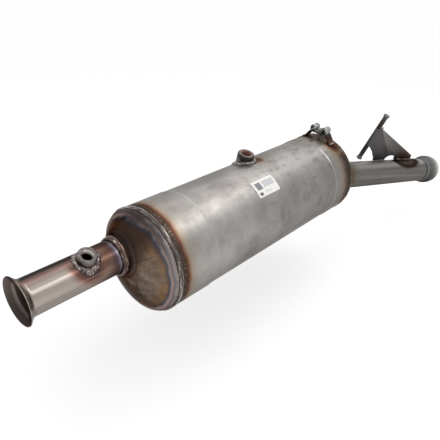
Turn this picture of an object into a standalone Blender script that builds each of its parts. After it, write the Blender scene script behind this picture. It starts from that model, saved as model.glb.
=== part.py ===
"""Diesel particulate filter with welded inlet and outlet pipes, Blender 4.5.

Metres, +Z up. +X runs along the can from the inlet to the outlet. The origin is the centre of the
inlet pipe's mouth, where the joint of the exhaust line holds the part.
"""
import math

import bmesh
import bpy
from mathutils import Matrix, Vector

# Clearance between pieces that touch
GAP = 0.0003

# Sheet and can
SHEET = 0.0015
CAN_RADIUS = 0.0825
CAN_LENGTH = 0.4690
SIZED_DROP = 0.0010
SIZED_START = 0.0720
SIZED_END = 0.0520
STEP_LENGTH = 0.0040

# Inlet pipe, on the frame's X axis
INLET_RADIUS = 0.0254
INLET_LENGTH = 0.1520
MOUTH_RADIUS = 0.0336
MOUTH_LENGTH = 0.0125
MOUTH_LIP = 0.0010
PIPE_LAP = 0.0060

# End caps: the flange slides into the can, the shoulder is pressed round, the neck takes the pipe
FLANGE_DEPTH = 0.0140
FLANGE_OUT = 0.0060
SHOULDER_DEPTH = 0.0075
SHOULDER_DROP = 0.0074
CAP_DEPTH = 0.0474
NECK_LIP = 0.0030
INLET_RISE = 0.0280

# Outlet pipe: it leaves the rear cap low and to the side, and runs down and towards -Y
OUTLET_RADIUS = 0.0286
OUTLET_LENGTH = 0.3770
OUTLET_START = Vector((0.0366, -0.0263, -0.0122))
OUTLET_PITCH = math.radians(10.8)
OUTLET_YAW = math.radians(-11.0)
BULGE_RADIUS = 0.0345
BULGE_LENGTH = 0.0520
BULGE_MOUTH_RADIUS = 0.0300
BULGE_CREST = 0.62

# Welds
RIM_BEAD = 0.0042
PIPE_BEAD = 0.0048

# Sensor bosses
INLET_BOSS_X = 0.0920
INLET_BOSS_LEAN = math.radians(-30.0)
INLET_BOSS_RADIUS = 0.0133
INLET_BOSS_HEIGHT = 0.0107
BODY_BOSS_X = 0.2490
BODY_BOSS_SEAT = math.radians(10.4)
BODY_BOSS_LEAN = math.radians(-17.0)
BODY_BOSS_RADIUS = 0.0150
BODY_BOSS_HEIGHT = 0.0180
BORE_RADIUS = 0.0073
BOSS_CHAMFER = 0.0012
BORE_CHAMFER = 0.0016
INLET_BOSS_BEAD = 0.0058
BODY_BOSS_BEAD = 0.0036
PORT_RADIUS = 0.0080

# Inside the can
MAT_THICKNESS = 0.0044
CATALYST_START = 0.0830
CATALYST_LENGTH = 0.1000
FILTER_END = 0.0560
FILTER_LENGTH = 0.1500
MAT_INSET = 0.0060

# Label
LABEL_X = 0.1945
LABEL_LENGTH = 0.0550
LABEL_WIDTH = 0.0302
LABEL_CENTRE = math.radians(-41.9)
LABEL_THICKNESS = 0.0003
LABEL_CORNER = 0.0016

# Pipe holder on the can near the outlet end
HOLDER_END = 0.0220
HOLDER_WIDTH = 0.0190
HOLDER_ANGLE = math.radians(-7.0)
HOLDER_RISE = 0.0125
HOLDER_TOP = 0.0360
HOLDER_BASE = 0.0560
HOLDER_SHEET = 0.0025
HOLDER_BEND = 0.0040
FOOT_BEAD = 0.0018
CLAMP_SHEET = 0.0012
CLAMP_WIDTH = 0.0160
CLAMP_SPACING = 0.0250
CLAMP_HUMP = 0.0056
CLAMP_RISE = 0.0050
BOLT_RADIUS = 0.0030
BOLT_HEAD_WIDTH = 0.0100
BOLT_HEAD_HEIGHT = 0.0040
NUT_HEIGHT = 0.0050
BOLT_TAIL = 0.0015

# Hanger on the outlet pipe, in the outlet pipe's own frame
ROD_STATION = 0.0862
ROD_RADIUS = 0.0050
ROD_LENGTH = 0.1146
ROD_TILT = math.radians(23.4)
ROD_FOOT_SIDE = 0.0110
ROD_FOOT_RISE = 0.0337
ROD_HEAD_RADIUS = 0.0066
ROD_HEAD_LENGTH = 0.0050

# Hanger plate, as cut flat: places along the pipe and heights up the rod
PLATE_SHEET = 0.0030
PLATE_FOLD = math.radians(7.0)
PLATE_TOP = 0.0843
PLATE_TOP_LEFT = -0.0200
PLATE_TOP_RIGHT = 0.0036
HEEL = (-0.0122, 0.0408)
HOLLOW = (-0.0003, 0.0370)
BELLY = (0.0234, 0.0218)
LEFT_FOOT = 0.0401
NOTCH_MIDDLE = 0.1090
NOTCH_HALF = 0.0190
NOTCH_HEIGHT = 0.0135
CREASE_BACK = 0.0098
RIGHT_FOOT = 0.0615
TOE_BACK = 0.0064
TOE_HEIGHT = 0.0146
ROD_BEAD = 0.0018
PLATE_BEAD = 0.0024
BEAD_INSET = 0.0050

# Facets
CAN_SIDES = 48
PIPE_SIDES = 36
BOSS_SIDES = 28
BEAD_SIDES = 12
ARC_STEPS = 4

# Places that follow from the sizes above
CAN_Z = -INLET_RISE
FRONT_RIM_X = INLET_LENGTH - PIPE_LAP + CAP_DEPTH
REAR_RIM_X = FRONT_RIM_X + CAN_LENGTH
FLANGE_RADIUS = CAN_RADIUS - SHEET - GAP
SIZED_RADIUS = CAN_RADIUS - SIZED_DROP
CORE_RADIUS = SIZED_RADIUS - SHEET - GAP - MAT_THICKNESS - GAP
LEFT_FOOT_START = NOTCH_MIDDLE - NOTCH_HALF - LEFT_FOOT
CREASE_FOOT = NOTCH_MIDDLE - CREASE_BACK
TOE = NOTCH_MIDDLE + NOTCH_HALF + RIGHT_FOOT
OUTLET_ORIGIN = Vector((REAR_RIM_X, 0, CAN_Z)) + OUTLET_START
OUTLET_FRAME = (Matrix.Translation(OUTLET_ORIGIN) @ Matrix.Rotation(OUTLET_YAW, 4, "Z")
                @ Matrix.Rotation(OUTLET_PITCH, 4, "Y"))
CAN_FRAME = Matrix.Translation((FRONT_RIM_X, 0, CAN_Z))


def clear_scene():
    """Empty the file that Blender starts with."""
    for obj in list(bpy.data.objects):
        bpy.data.objects.remove(obj, do_unlink=True)


def material(name, colour, roughness, metallic):
    """A plain surface with the part's colour."""
    mat = bpy.data.materials.get(name)
    if mat:
        return mat
    mat = bpy.data.materials.new(name)
    mat.use_nodes = True
    shader = mat.node_tree.nodes["Principled BSDF"]
    shader.inputs["Base Color"].default_value = (*colour, 1.0)
    shader.inputs["Roughness"].default_value = roughness
    shader.inputs["Metallic"].default_value = metallic
    return mat


def shell_steel():
    return material("shell_steel", (0.42, 0.40, 0.38), 0.38, 1.0)


def tube_steel():
    return material("tube_steel", (0.40, 0.36, 0.32), 0.32, 1.0)


def scaled_steel():
    return material("scaled_steel", (0.13, 0.11, 0.09), 0.50, 1.0)


def weld_steel():
    return material("weld_steel", (0.30, 0.26, 0.23), 0.35, 1.0)


def boss_steel():
    return material("boss_steel", (0.16, 0.13, 0.13), 0.42, 1.0)


def hanger_steel():
    return material("hanger_steel", (0.07, 0.065, 0.06), 0.55, 1.0)


def zinc_steel():
    return material("zinc_steel", (0.55, 0.56, 0.55), 0.35, 1.0)


def ceramic():
    return material("ceramic", (0.30, 0.27, 0.23), 0.90, 0.0)


def fibre_mat():
    return material("fibre_mat", (0.75, 0.73, 0.68), 0.95, 0.0)


def label_paper():
    return material("label_paper", (0.85, 0.84, 0.82), 0.60, 0.0)


def finish(name, mesh, mat, frame=None, crease=math.radians(35)):
    """Make the named object from a mesh and set its material, place and shading."""
    obj = bpy.data.objects.new(name, mesh)
    bpy.context.scene.collection.objects.link(obj)
    obj.data.materials.append(mat)
    mesh.shade_smooth()
    mesh.set_sharp_from_angle(angle=crease)
    if frame:
        obj.location = frame.to_translation()
        obj.rotation_euler = frame.to_euler()
    return obj


def mesh_from(bm, name):
    """Close a bmesh with its faces pointing out."""
    bmesh.ops.recalc_face_normals(bm, faces=bm.faces)
    mesh = bpy.data.meshes.new(name)
    bm.to_mesh(mesh)
    bm.free()
    return mesh


def turned(name, outline, mat, frame=None, sides=PIPE_SIDES):
    """Spin a closed outline of (x, radius) points round the X axis."""
    bm = bmesh.new()
    verts = [bm.verts.new((x, 0, radius)) for x, radius in outline]
    edges = [bm.edges.new((a, b)) for a, b in zip(verts, verts[1:] + verts[:1])]
    bmesh.ops.spin(bm, geom=verts + edges, cent=(0, 0, 0), axis=(1, 0, 0), dvec=(0, 0, 0),
                   angle=2 * math.pi, steps=sides, use_merge=True)
    bmesh.ops.remove_doubles(bm, verts=bm.verts, dist=GAP / 10)
    return finish(name, mesh_from(bm, name), mat, frame)


def lofted(name, rings, mat, frame=None, sides=CAN_SIDES):
    """Extrude a circle through a closed chain of rings, each a (matrix, radius) facing along X."""
    bm = bmesh.new()
    turn = Matrix.Rotation(math.pi / 2, 4, "Y")
    spots = [place @ turn @ Matrix.Scale(radius, 4) for place, radius in rings]
    bmesh.ops.create_circle(bm, cap_ends=False, radius=1, segments=sides, matrix=spots[0])
    edges = bm.edges[:]
    for here, after in zip(spots, spots[1:] + spots[:1]):
        made = bmesh.ops.extrude_edge_only(bm, edges=edges)["geom"]
        edges = [g for g in made if isinstance(g, bmesh.types.BMEdge)]
        verts = [g for g in made if isinstance(g, bmesh.types.BMVert)]
        bmesh.ops.transform(bm, matrix=after @ here.inverted(), verts=verts)
    bmesh.ops.remove_doubles(bm, verts=bm.verts, dist=GAP / 10)
    return finish(name, mesh_from(bm, name), mat, frame)


def extruded(name, outline, width, mat, frame=None, crease=math.radians(35)):
    """Extrude a closed outline of (y, z) points along X, centred on x = 0."""
    bm = bmesh.new()
    face = bm.faces.new([bm.verts.new((-width / 2, y, z)) for y, z in outline])
    made = bmesh.ops.extrude_face_region(bm, geom=[face])
    moved = [g for g in made["geom"] if isinstance(g, bmesh.types.BMVert)]
    bmesh.ops.translate(bm, verts=moved, vec=(width, 0, 0))
    return finish(name, mesh_from(bm, name), mat, frame, crease)


def saddled(name, sections, mat, frame):
    """A ring round the Z axis whose cross-section may change as it goes round."""
    bm = bmesh.new()
    rows = []
    for index, section in enumerate(sections):
        turn = 2 * math.pi * index / len(sections)
        rows.append([bm.verts.new((r * math.cos(turn), r * math.sin(turn), z)) for r, z in section])
    for row, after in zip(rows, rows[1:] + rows[:1]):
        for i in range(len(row)):
            j = (i + 1) % len(row)
            bm.faces.new((row[i], after[i], after[j], row[j]))
    return finish(name, mesh_from(bm, name), mat, frame)


def spindle(name, outline, sides, mat, frame):
    """Spin an open outline of (x, radius) points that begins and ends on the X axis."""
    bm = bmesh.new()
    verts = [bm.verts.new((x, 0, r)) for x, r in outline]
    edges = [bm.edges.new((a, b)) for a, b in zip(verts, verts[1:])]
    bmesh.ops.spin(bm, geom=verts + edges, cent=(0, 0, 0), axis=(1, 0, 0), dvec=(0, 0, 0),
                   angle=2 * math.pi, steps=sides, use_merge=True)
    bmesh.ops.remove_doubles(bm, verts=bm.verts, dist=GAP / 10)
    return finish(name, mesh_from(bm, name), mat, frame)


def bead(name, start, end, radius, mat, frame):
    """A straight run of weld with round ends."""
    run = Vector(end) - Vector(start)
    half = [(-radius * math.cos(a), radius * math.sin(a)) for a in (math.pi / 2 * i / 3 for i in range(4))]
    outline = half + [(run.length - x, r) for x, r in reversed(half)]
    along = run.to_track_quat("X", "Z").to_matrix().to_4x4()
    spindle(name, outline, BEAD_SIDES, mat, frame @ Matrix.Translation(start) @ along)


def tool(name, radius, length, frame, sides=BOSS_SIDES):
    """A round solid along its frame's Z axis that only shapes other pieces."""
    bpy.ops.mesh.primitive_cylinder_add(vertices=sides, radius=radius, depth=length)
    obj = bpy.context.object
    obj.name = name
    obj.matrix_world = frame
    obj.hide_render = True
    obj.display_type = "WIRE"
    return obj


def combine(obj, other, operation="DIFFERENCE"):
    """Take one solid out of another, or join it on."""
    mod = obj.modifiers.new(other.name, "BOOLEAN")
    mod.operation = operation
    mod.solver = "EXACT"
    mod.object = other


def arc(centre, radii, start, end, steps=ARC_STEPS):
    """Points on an arc, with both ends."""
    return [(centre[0] + radii[0] * math.cos(start + (end - start) * i / steps),
             centre[1] + radii[1] * math.sin(start + (end - start) * i / steps))
            for i in range(steps + 1)]


def walled(outer, wall):
    """Close a tube's outline: the outer side, then the same points one wall further in."""
    return outer + [(x, radius - wall) for x, radius in reversed(outer)]


def fillet(x, radius, leg, direction):
    """Cross-section of a weld bead on a round pipe, from x along the direction."""
    points = [(x, radius), (x + direction * leg, radius)]
    bulge = arc((x, radius), (direction * leg, leg), math.pi / 6, math.pi / 2, 3)
    return points + bulge


def inlet_pipe():
    """Tube with a bell mouth: the bell is a quarter wave from the mouth to the straight."""
    steps = 8
    bell = []
    for i in range(steps + 1):
        share = i / steps
        rise = (MOUTH_RADIUS - INLET_RADIUS) * (1 - math.sin(share * math.pi / 2))
        bell.append((MOUTH_LIP + share * (MOUTH_LENGTH - MOUTH_LIP), INLET_RADIUS + rise))
    outer = [(0, MOUTH_RADIUS)] + bell + [(INLET_LENGTH, INLET_RADIUS)]
    pipe = turned("inlet_pipe", walled(outer, SHEET), tube_steel())
    place = Matrix.Translation((INLET_BOSS_X, 0, 0)) @ Matrix.Rotation(-INLET_BOSS_LEAN, 4, "X")
    place = place @ Matrix.Translation((0, 0, INLET_RADIUS))
    combine(pipe, tool("inlet_port_drill", PORT_RADIUS, INLET_RADIUS, place))


def seat_height(turn, reach, radius, side, drop):
    """Height of a round surface over a boss's base, the surface's axis running along X."""
    across = reach * math.sin(turn) - side
    return math.sqrt(max(radius ** 2 - across ** 2, 0)) + drop


def boss(name, frame, reach, height, radius, side, drop):
    """Boss with a through bore, its foot shaped to the round surface that carries it."""
    sections = []
    for i in range(BOSS_SIDES):
        turn = 2 * math.pi * i / BOSS_SIDES
        inner = seat_height(turn, BORE_RADIUS, radius + GAP, side, drop)
        outer = seat_height(turn, reach, radius + GAP, side, drop)
        sections.append([(BORE_RADIUS, inner), (reach, outer), (reach, height - BOSS_CHAMFER),
                         (reach - BOSS_CHAMFER, height), (BORE_RADIUS + BORE_CHAMFER, height),
                         (BORE_RADIUS, height - BORE_CHAMFER)])
    return saddled(name, sections, boss_steel(), frame)


def boss_weld(name, frame, reach, leg, radius, side, drop):
    """Weld ring in the corner between a boss and the surface under it."""
    sections = []
    inside = reach + GAP
    for i in range(BOSS_SIDES):
        turn = 2 * math.pi * i / BOSS_SIDES
        foot = seat_height(turn, inside, radius + GAP, side, drop)
        section = [(inside, foot)]
        for share in (0.5, 1.0):
            spread = inside + share * leg
            section.append((spread, seat_height(turn, spread, radius + GAP, side, drop)))
        for share, lift in ((0.72, 0.45), (0.32, 0.66)):
            spread = inside + share * leg
            here = seat_height(turn, spread, radius + GAP, side, drop)
            section.append((spread, here + lift * leg))
        section.append((inside, foot + 0.76 * leg))
        sections.append(section)
    return saddled(name, sections, weld_steel(), frame)


def inlet_boss():
    frame = Matrix.Translation((INLET_BOSS_X, 0, 0)) @ Matrix.Rotation(-INLET_BOSS_LEAN, 4, "X")
    height = INLET_RADIUS + INLET_BOSS_HEIGHT
    boss("inlet_sensor_boss", frame, INLET_BOSS_RADIUS, height, INLET_RADIUS, 0, 0)
    boss_weld("inlet_boss_weld", frame, INLET_BOSS_RADIUS, INLET_BOSS_BEAD, INLET_RADIUS, 0, 0)


def body_boss_frame():
    """Frame on the can's surface, leaning away from the radius through its base."""
    base = Vector((BODY_BOSS_X, math.sin(BODY_BOSS_SEAT) * SIZED_RADIUS,
                   math.cos(BODY_BOSS_SEAT) * SIZED_RADIUS))
    return CAN_FRAME @ Matrix.Translation(base) @ Matrix.Rotation(-BODY_BOSS_LEAN, 4, "X")


def body_boss():
    frame = body_boss_frame()
    lean = BODY_BOSS_SEAT - BODY_BOSS_LEAN
    side = -SIZED_RADIUS * math.sin(lean)
    drop = -SIZED_RADIUS * math.cos(lean)
    boss("body_sensor_boss", frame, BODY_BOSS_RADIUS, BODY_BOSS_HEIGHT, SIZED_RADIUS, side, drop)
    boss_weld("body_boss_weld", frame, BODY_BOSS_RADIUS, BODY_BOSS_BEAD, SIZED_RADIUS, side, drop)


def canister_shell():
    """Rolled sheet, drawn in over the middle zone that grips the bricks."""
    first = SIZED_START
    last = CAN_LENGTH - SIZED_END
    outer = [(0, CAN_RADIUS), (first, CAN_RADIUS), (first + STEP_LENGTH, SIZED_RADIUS),
             (last - STEP_LENGTH, SIZED_RADIUS), (last, CAN_RADIUS), (CAN_LENGTH, CAN_RADIUS)]
    shell = turned("canister_shell", walled(outer, SHEET), shell_steel(), CAN_FRAME, CAN_SIDES)
    combine(shell, tool("body_port_drill", PORT_RADIUS, 2 * BODY_BOSS_HEIGHT, body_boss_frame()))


def shoulder_rings(direction, wall):
    """Flange and rounded shoulder of an end cap, as (x, radius) from the can's edge outwards."""
    start = FLANGE_RADIUS - SHOULDER_DROP
    turn = arc((FLANGE_OUT, start), (SHOULDER_DEPTH - wall, SHOULDER_DROP - wall), math.pi / 2, 0)
    points = [(-FLANGE_DEPTH, FLANGE_RADIUS - wall)] + turn
    return [(direction * x, radius) for x, radius in points]


def cap_rings(direction, wall):
    return [(Matrix.Translation((x, 0, 0)), radius) for x, radius in shoulder_rings(direction, wall)]


def inlet_end_cone():
    """Eccentric cap: its neck sits above the can's axis, round the inlet pipe."""
    neck_x = -CAP_DEPTH
    hole = INLET_RADIUS + GAP
    neck = Matrix.Translation((neck_x + NECK_LIP, 0, INLET_RISE))
    lip = Matrix.Translation((neck_x, 0, INLET_RISE))
    outer = cap_rings(-1, 0) + [(neck, hole + SHEET + GAP), (lip, hole + SHEET)]
    inner_neck = Matrix.Translation((neck_x + NECK_LIP + SHEET, 0, INLET_RISE))
    inner = [(lip, hole), (inner_neck, hole)] + list(reversed(cap_rings(-1, SHEET)))
    lofted("inlet_end_cone", outer + inner, scaled_steel(), CAN_FRAME)


def outlet_end_cone():
    """Rear cap: its neck is turned to the outlet pipe's own direction."""
    rear = Matrix.Translation((REAR_RIM_X, 0, CAN_Z))
    to_pipe = rear.inverted() @ OUTLET_FRAME
    hole = OUTLET_RADIUS + GAP
    neck = to_pipe @ Matrix.Translation((PIPE_LAP - NECK_LIP, 0, 0))
    lip = to_pipe @ Matrix.Translation((PIPE_LAP, 0, 0))
    outer = cap_rings(1, 0) + [(neck, hole + SHEET + GAP), (lip, hole + SHEET)]
    inner_neck = to_pipe @ Matrix.Translation((PIPE_LAP - NECK_LIP - SHEET, 0, 0))
    inner = [(lip, hole), (inner_neck, hole)] + list(reversed(cap_rings(1, SHEET)))
    lofted("outlet_end_cone", outer + inner, scaled_steel(), rear)


def rim_weld(name, x, direction):
    """Bead in the corner between a cap's flange and the can's edge."""
    inside = FLANGE_RADIUS + GAP
    near = direction * GAP
    top = CAN_RADIUS + SHEET / 3
    outline = [(near, inside), (direction * RIM_BEAD, inside), (direction * 0.88 * RIM_BEAD, top - 0.0008),
               (direction * 0.55 * RIM_BEAD, top), (near, top - 0.0003)]
    turned(name, outline, weld_steel(), Matrix.Translation((x, 0, CAN_Z)), CAN_SIDES)


def pipe_welds():
    """Ring beads where each pipe enters its cap."""
    inlet_x = FRONT_RIM_X - CAP_DEPTH - GAP
    outline = fillet(inlet_x, INLET_RADIUS + GAP, PIPE_BEAD, -1)
    turned("inlet_pipe_weld", outline, weld_steel())
    outline = fillet(PIPE_LAP + GAP, OUTLET_RADIUS + GAP, PIPE_BEAD, 1)
    turned("outlet_pipe_weld", outline, weld_steel(), OUTLET_FRAME)


def outlet_pipe():
    """Tube whose end swells into a ball and tapers to its mouth."""
    start = OUTLET_LENGTH - BULGE_LENGTH
    crest = BULGE_CREST * BULGE_LENGTH
    rise = BULGE_RADIUS - OUTLET_RADIUS
    fall = BULGE_RADIUS - BULGE_MOUTH_RADIUS
    outer = [(0, OUTLET_RADIUS)]
    steps = 7
    for i in range(steps + 1):
        share = i / steps
        swell = rise * (1 - math.cos(share * math.pi)) / 2
        outer.append((start + share * crest, OUTLET_RADIUS + swell))
    for i in range(1, steps + 1):
        share = i / steps
        outer.append((start + crest + (BULGE_LENGTH - crest) * math.sin(share * math.pi / 2),
                      BULGE_RADIUS - fall * (1 - math.cos(share * math.pi / 2))))
    turned("outlet_pipe", walled(outer, SHEET), tube_steel(), OUTLET_FRAME)


def brick(name, start, length, radius, mat):
    """Solid ceramic brick on the can's axis."""
    frame = CAN_FRAME @ Matrix.Translation((start + length / 2, 0, 0)) @ Matrix.Rotation(
        math.pi / 2, 4, "Y")
    bpy.ops.mesh.primitive_cylinder_add(vertices=CAN_SIDES, radius=radius, depth=length)
    obj = bpy.context.object
    obj.name = name
    obj.location = frame.to_translation()
    obj.rotation_euler = frame.to_euler()
    obj.data.materials.append(mat)
    obj.data.shade_smooth()
    obj.data.set_sharp_from_angle(angle=math.radians(35))


def mat_ring(name, start, length):
    """Fibre mat wrapped round a brick, a little shorter than the brick."""
    inner = CORE_RADIUS + GAP
    outer = inner + MAT_THICKNESS
    ends = (start + MAT_INSET, start + length - MAT_INSET)
    outline = [(ends[0], inner), (ends[0], outer), (ends[1], outer), (ends[1], inner)]
    turned(name, outline, fibre_mat(), CAN_FRAME, CAN_SIDES)


def bricks():
    brick("oxidation_catalyst", CATALYST_START, CATALYST_LENGTH, CORE_RADIUS, ceramic())
    mat_ring("catalyst_mat", CATALYST_START, CATALYST_LENGTH)
    start = CAN_LENGTH - FILTER_END - FILTER_LENGTH
    brick("filter_substrate", start, FILTER_LENGTH, CORE_RADIUS, ceramic())
    mat_ring("filter_mat", start, FILTER_LENGTH)


def label():
    """Paper patch that follows the can's curve, with clipped corners."""
    across = 10
    radius = SIZED_RADIUS + GAP
    half = LABEL_WIDTH / 2 / radius
    bm = bmesh.new()
    columns = [0, LABEL_CORNER, LABEL_LENGTH - LABEL_CORNER, LABEL_LENGTH]
    grid = []
    for i in range(across + 1):
        angle = LABEL_CENTRE - half + 2 * half * i / across
        row = []
        for x in columns:
            place = (LABEL_X + x, radius * math.sin(angle), radius * math.cos(angle))
            row.append(bm.verts.new(place))
        grid.append(row)
    for row, after in zip(grid, grid[1:]):
        for j in range(len(columns) - 1):
            bm.faces.new((row[j], row[j + 1], after[j + 1], after[j]))
    corners = [grid[0][0], grid[0][-1], grid[-1][0], grid[-1][-1]]
    for corner in corners:
        inward = 1 if corner in grid[0] else -1
        along = 1 if corner in (grid[0][0], grid[-1][0]) else -1
        angle = math.atan2(corner.co.y, corner.co.z) + inward * LABEL_CORNER / radius / 3
        corner.co = (corner.co.x + along * LABEL_CORNER / 3, radius * math.sin(angle),
                     radius * math.cos(angle))
    bmesh.ops.recalc_face_normals(bm, faces=bm.faces)
    if grid[0][0].link_faces[0].normal.dot(Vector((0, math.sin(LABEL_CENTRE), 1))) < 0:
        bmesh.ops.reverse_faces(bm, faces=bm.faces)
    mesh = bpy.data.meshes.new("label")
    bm.to_mesh(mesh)
    bm.free()
    obj = finish("label", mesh, label_paper(), CAN_FRAME)
    solid = obj.modifiers.new("paper", "SOLIDIFY")
    solid.thickness = LABEL_THICKNESS
    solid.offset = 1


def rounded(path, radius, steps=3):
    """Round the inner corners of an open (y, z) path."""
    points = [Vector(path[0])]
    for before, here, after in zip(path, path[1:], path[2:]):
        here = Vector(here)
        back = (Vector(before) - here).normalized()
        ahead = (Vector(after) - here).normalized()
        bend = back.angle(ahead)
        reach = radius / math.tan(bend / 2)
        for i in range(steps + 1):
            share = i / steps
            a = here + back * reach * (1 - share)
            b = here + ahead * reach * share
            points.append(a.lerp(b, share))
    points.append(Vector(path[-1]))
    return points


def strip_outline(path, thickness):
    """Give an open path a sheet's thickness and close it."""
    left = []
    right = []
    for i, here in enumerate(path):
        before = path[max(i - 1, 0)]
        after = path[min(i + 1, len(path) - 1)]
        along = (after - before).normalized()
        out = Vector((-along.y, along.x)) * thickness / 2
        left.append(tuple(here + out))
        right.append(tuple(here - out))
    return left + right[::-1]


def holder_frame():
    """On the can's surface under the middle of the holder, Z pointing away from the can."""
    return (CAN_FRAME @ Matrix.Translation((CAN_LENGTH - HOLDER_END + HOLDER_WIDTH / 2, 0, 0))
            @ Matrix.Rotation(-HOLDER_ANGLE, 4, "X") @ Matrix.Translation((0, 0, CAN_RADIUS)))


def pipe_holder():
    """Hat-shaped strip that stands on the can with spread legs, drilled for the clamp bolt."""
    half_base = HOLDER_BASE / 2
    sag = CAN_RADIUS - math.sqrt(CAN_RADIUS ** 2 - half_base ** 2)
    middle = HOLDER_RISE - HOLDER_SHEET / 2
    foot = -sag + HOLDER_SHEET / 2 + GAP
    path = [(-half_base, foot), (-HOLDER_TOP / 2, middle), (HOLDER_TOP / 2, middle), (half_base, foot)]
    path = rounded(path, HOLDER_BEND)
    frame = holder_frame()
    strip = extruded("pipe_holder", strip_outline(path, HOLDER_SHEET), HOLDER_WIDTH, hanger_steel(), frame)
    hole = frame @ Matrix.Translation((0, 0, middle))
    combine(strip, tool("holder_hole_drill", BOLT_RADIUS + GAP, 4 * HOLDER_SHEET, hole))


def holder_welds():
    """A bead along the outer edge of each foot."""
    frame = holder_frame()
    reach = HOLDER_BASE / 2 + HOLDER_SHEET / 2 + FOOT_BEAD + GAP
    for name, side in (("holder_weld_left", 1), ("holder_weld_right", -1)):
        height = math.sqrt((CAN_RADIUS + GAP + FOOT_BEAD) ** 2 - reach ** 2) - CAN_RADIUS
        half = HOLDER_WIDTH / 2 - FOOT_BEAD
        bead(name, (-half, side * reach, height), (half, side * reach, height), FOOT_BEAD,
             weld_steel(), frame)


def pipe_clamp():
    """Twin saddle: two humps for thin pipes and a flat between them under the bolt."""
    base = HOLDER_RISE + GAP + CLAMP_SHEET / 2
    low = base - CLAMP_SHEET / 2
    middle = CLAMP_SPACING / 2
    path = []
    for centre, start, end in ((-middle, low, base), (middle, base, low)):
        path.append((centre - CLAMP_HUMP, start))
        path += arc((centre, base + CLAMP_RISE), (CLAMP_HUMP, CLAMP_HUMP), math.pi, 0, 8)
        path.append((centre + CLAMP_HUMP, end))
    points = [Vector(p) for p in path]
    frame = holder_frame()
    clamp = extruded("pipe_clamp", strip_outline(points, CLAMP_SHEET), CLAMP_WIDTH, zinc_steel(), frame)
    hole = frame @ Matrix.Translation((0, 0, base))
    combine(clamp, tool("clamp_hole_drill", BOLT_RADIUS + GAP, 4 * CLAMP_SHEET, hole))


def hexagon(name, base, height, frame):
    """Hexagonal block standing on its frame's plane z = base."""
    reach = BOLT_HEAD_WIDTH / math.sqrt(3)
    bpy.ops.mesh.primitive_cylinder_add(vertices=6, radius=reach, depth=height)
    obj = bpy.context.object
    obj.name = name
    obj.data.materials.append(zinc_steel())
    place = frame @ Matrix.Translation((0, 0, base + height / 2))
    obj.location = place.to_translation()
    obj.rotation_euler = place.to_euler()
    return obj


def clamp_bolt():
    """Hex bolt through the clamp and the holder."""
    frame = holder_frame()
    seat = HOLDER_RISE + GAP + CLAMP_SHEET + GAP
    low = HOLDER_RISE - HOLDER_SHEET - NUT_HEIGHT - BOLT_TAIL
    length = seat + BOLT_HEAD_HEIGHT / 2 - low
    middle = frame @ Matrix.Translation((0, 0, low + length / 2))
    bolt = hexagon("clamp_bolt", seat, BOLT_HEAD_HEIGHT, frame)
    combine(bolt, tool("bolt_shank", BOLT_RADIUS, length, middle, BEAD_SIDES), "UNION")


def clamp_nut():
    """Hex nut under the holder."""
    frame = holder_frame()
    base = HOLDER_RISE - HOLDER_SHEET - GAP - NUT_HEIGHT
    middle = frame @ Matrix.Translation((0, 0, base + NUT_HEIGHT / 2))
    nut = hexagon("clamp_nut", base, NUT_HEIGHT, frame)
    combine(nut, tool("nut_drill", BOLT_RADIUS + GAP, 2 * NUT_HEIGHT, middle, BEAD_SIDES))


def hanger_frame():
    """Origin at the rod's lower end, X along the outlet pipe, Z up the rod, -Y towards the view."""
    foot = Vector((ROD_STATION, ROD_FOOT_SIDE, ROD_FOOT_RISE))
    return OUTLET_FRAME @ Matrix.Translation(foot) @ Matrix.Rotation(ROD_TILT, 4, "X")


def hanger_rod():
    """Round rod with an upset head at each end."""
    crown = ROD_HEAD_LENGTH / 4
    end = [(0, 0), (0, ROD_HEAD_RADIUS - crown), (crown, ROD_HEAD_RADIUS),
           (ROD_HEAD_LENGTH - crown, ROD_HEAD_RADIUS), (ROD_HEAD_LENGTH + crown, ROD_RADIUS)]
    outline = end + [(ROD_LENGTH - x, radius) for x, radius in reversed(end)]
    upright = hanger_frame() @ Matrix.Rotation(-math.pi / 2, 4, "Y")
    spindle("hanger_rod", outline, BOSS_SIDES, hanger_steel(), upright)


def pipe_clearance(point):
    """Distance from a point in the hanger's frame to the outlet pipe's surface."""
    turn = Matrix.Rotation(ROD_TILT, 3, "X")
    place = turn @ Vector(point) + Vector((0, ROD_FOOT_SIDE, ROD_FOOT_RISE))
    return math.hypot(place.y, place.z) - OUTLET_RADIUS


def settle(place, reach):
    """Lower a point of the hanger's frame, given by a function of height, onto the pipe."""
    low, high = -OUTLET_RADIUS, OUTLET_RADIUS
    for _ in range(30):
        middle = (low + high) / 2
        nearest = min(pipe_clearance(point) for point in place(middle))
        low, high = (middle, high) if nearest < reach else (low, middle)
    return high


def plate_depth():
    """Middle plane of the plate: it lies on the rod's view side."""
    return -(ROD_RADIUS + GAP + PLATE_SHEET / 2)


def folded(x, z):
    """Middle, front and back of the sheet at a place on the folded leaf."""
    top, foot = crease_ends(CREASE_FOOT)
    axis = (foot - top).normalized()
    turn = Matrix.Rotation(PLATE_FOLD, 3, axis)
    middle = top + turn @ (Vector((x, plate_depth(), z)) - top)
    side = turn @ Vector((0, PLATE_SHEET / 2, 0))
    return middle, middle - side, middle + side


def left_foot():
    """Height of the flat leaf's foot edge over the rod's lower end."""
    faces = (plate_depth() - PLATE_SHEET / 2, plate_depth() + PLATE_SHEET / 2)
    return settle(lambda z: [Vector((0, y, z)) for y in faces], GAP)


def crease_ends(x):
    """Top and foot of the fold line, its foot on the notch at x."""
    share = (x - NOTCH_MIDDLE) / NOTCH_HALF
    height = left_foot() + NOTCH_HEIGHT * math.sqrt(1 - share ** 2)
    return (Vector((PLATE_TOP_RIGHT, plate_depth(), PLATE_TOP)), Vector((x, plate_depth(), height)))


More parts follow.
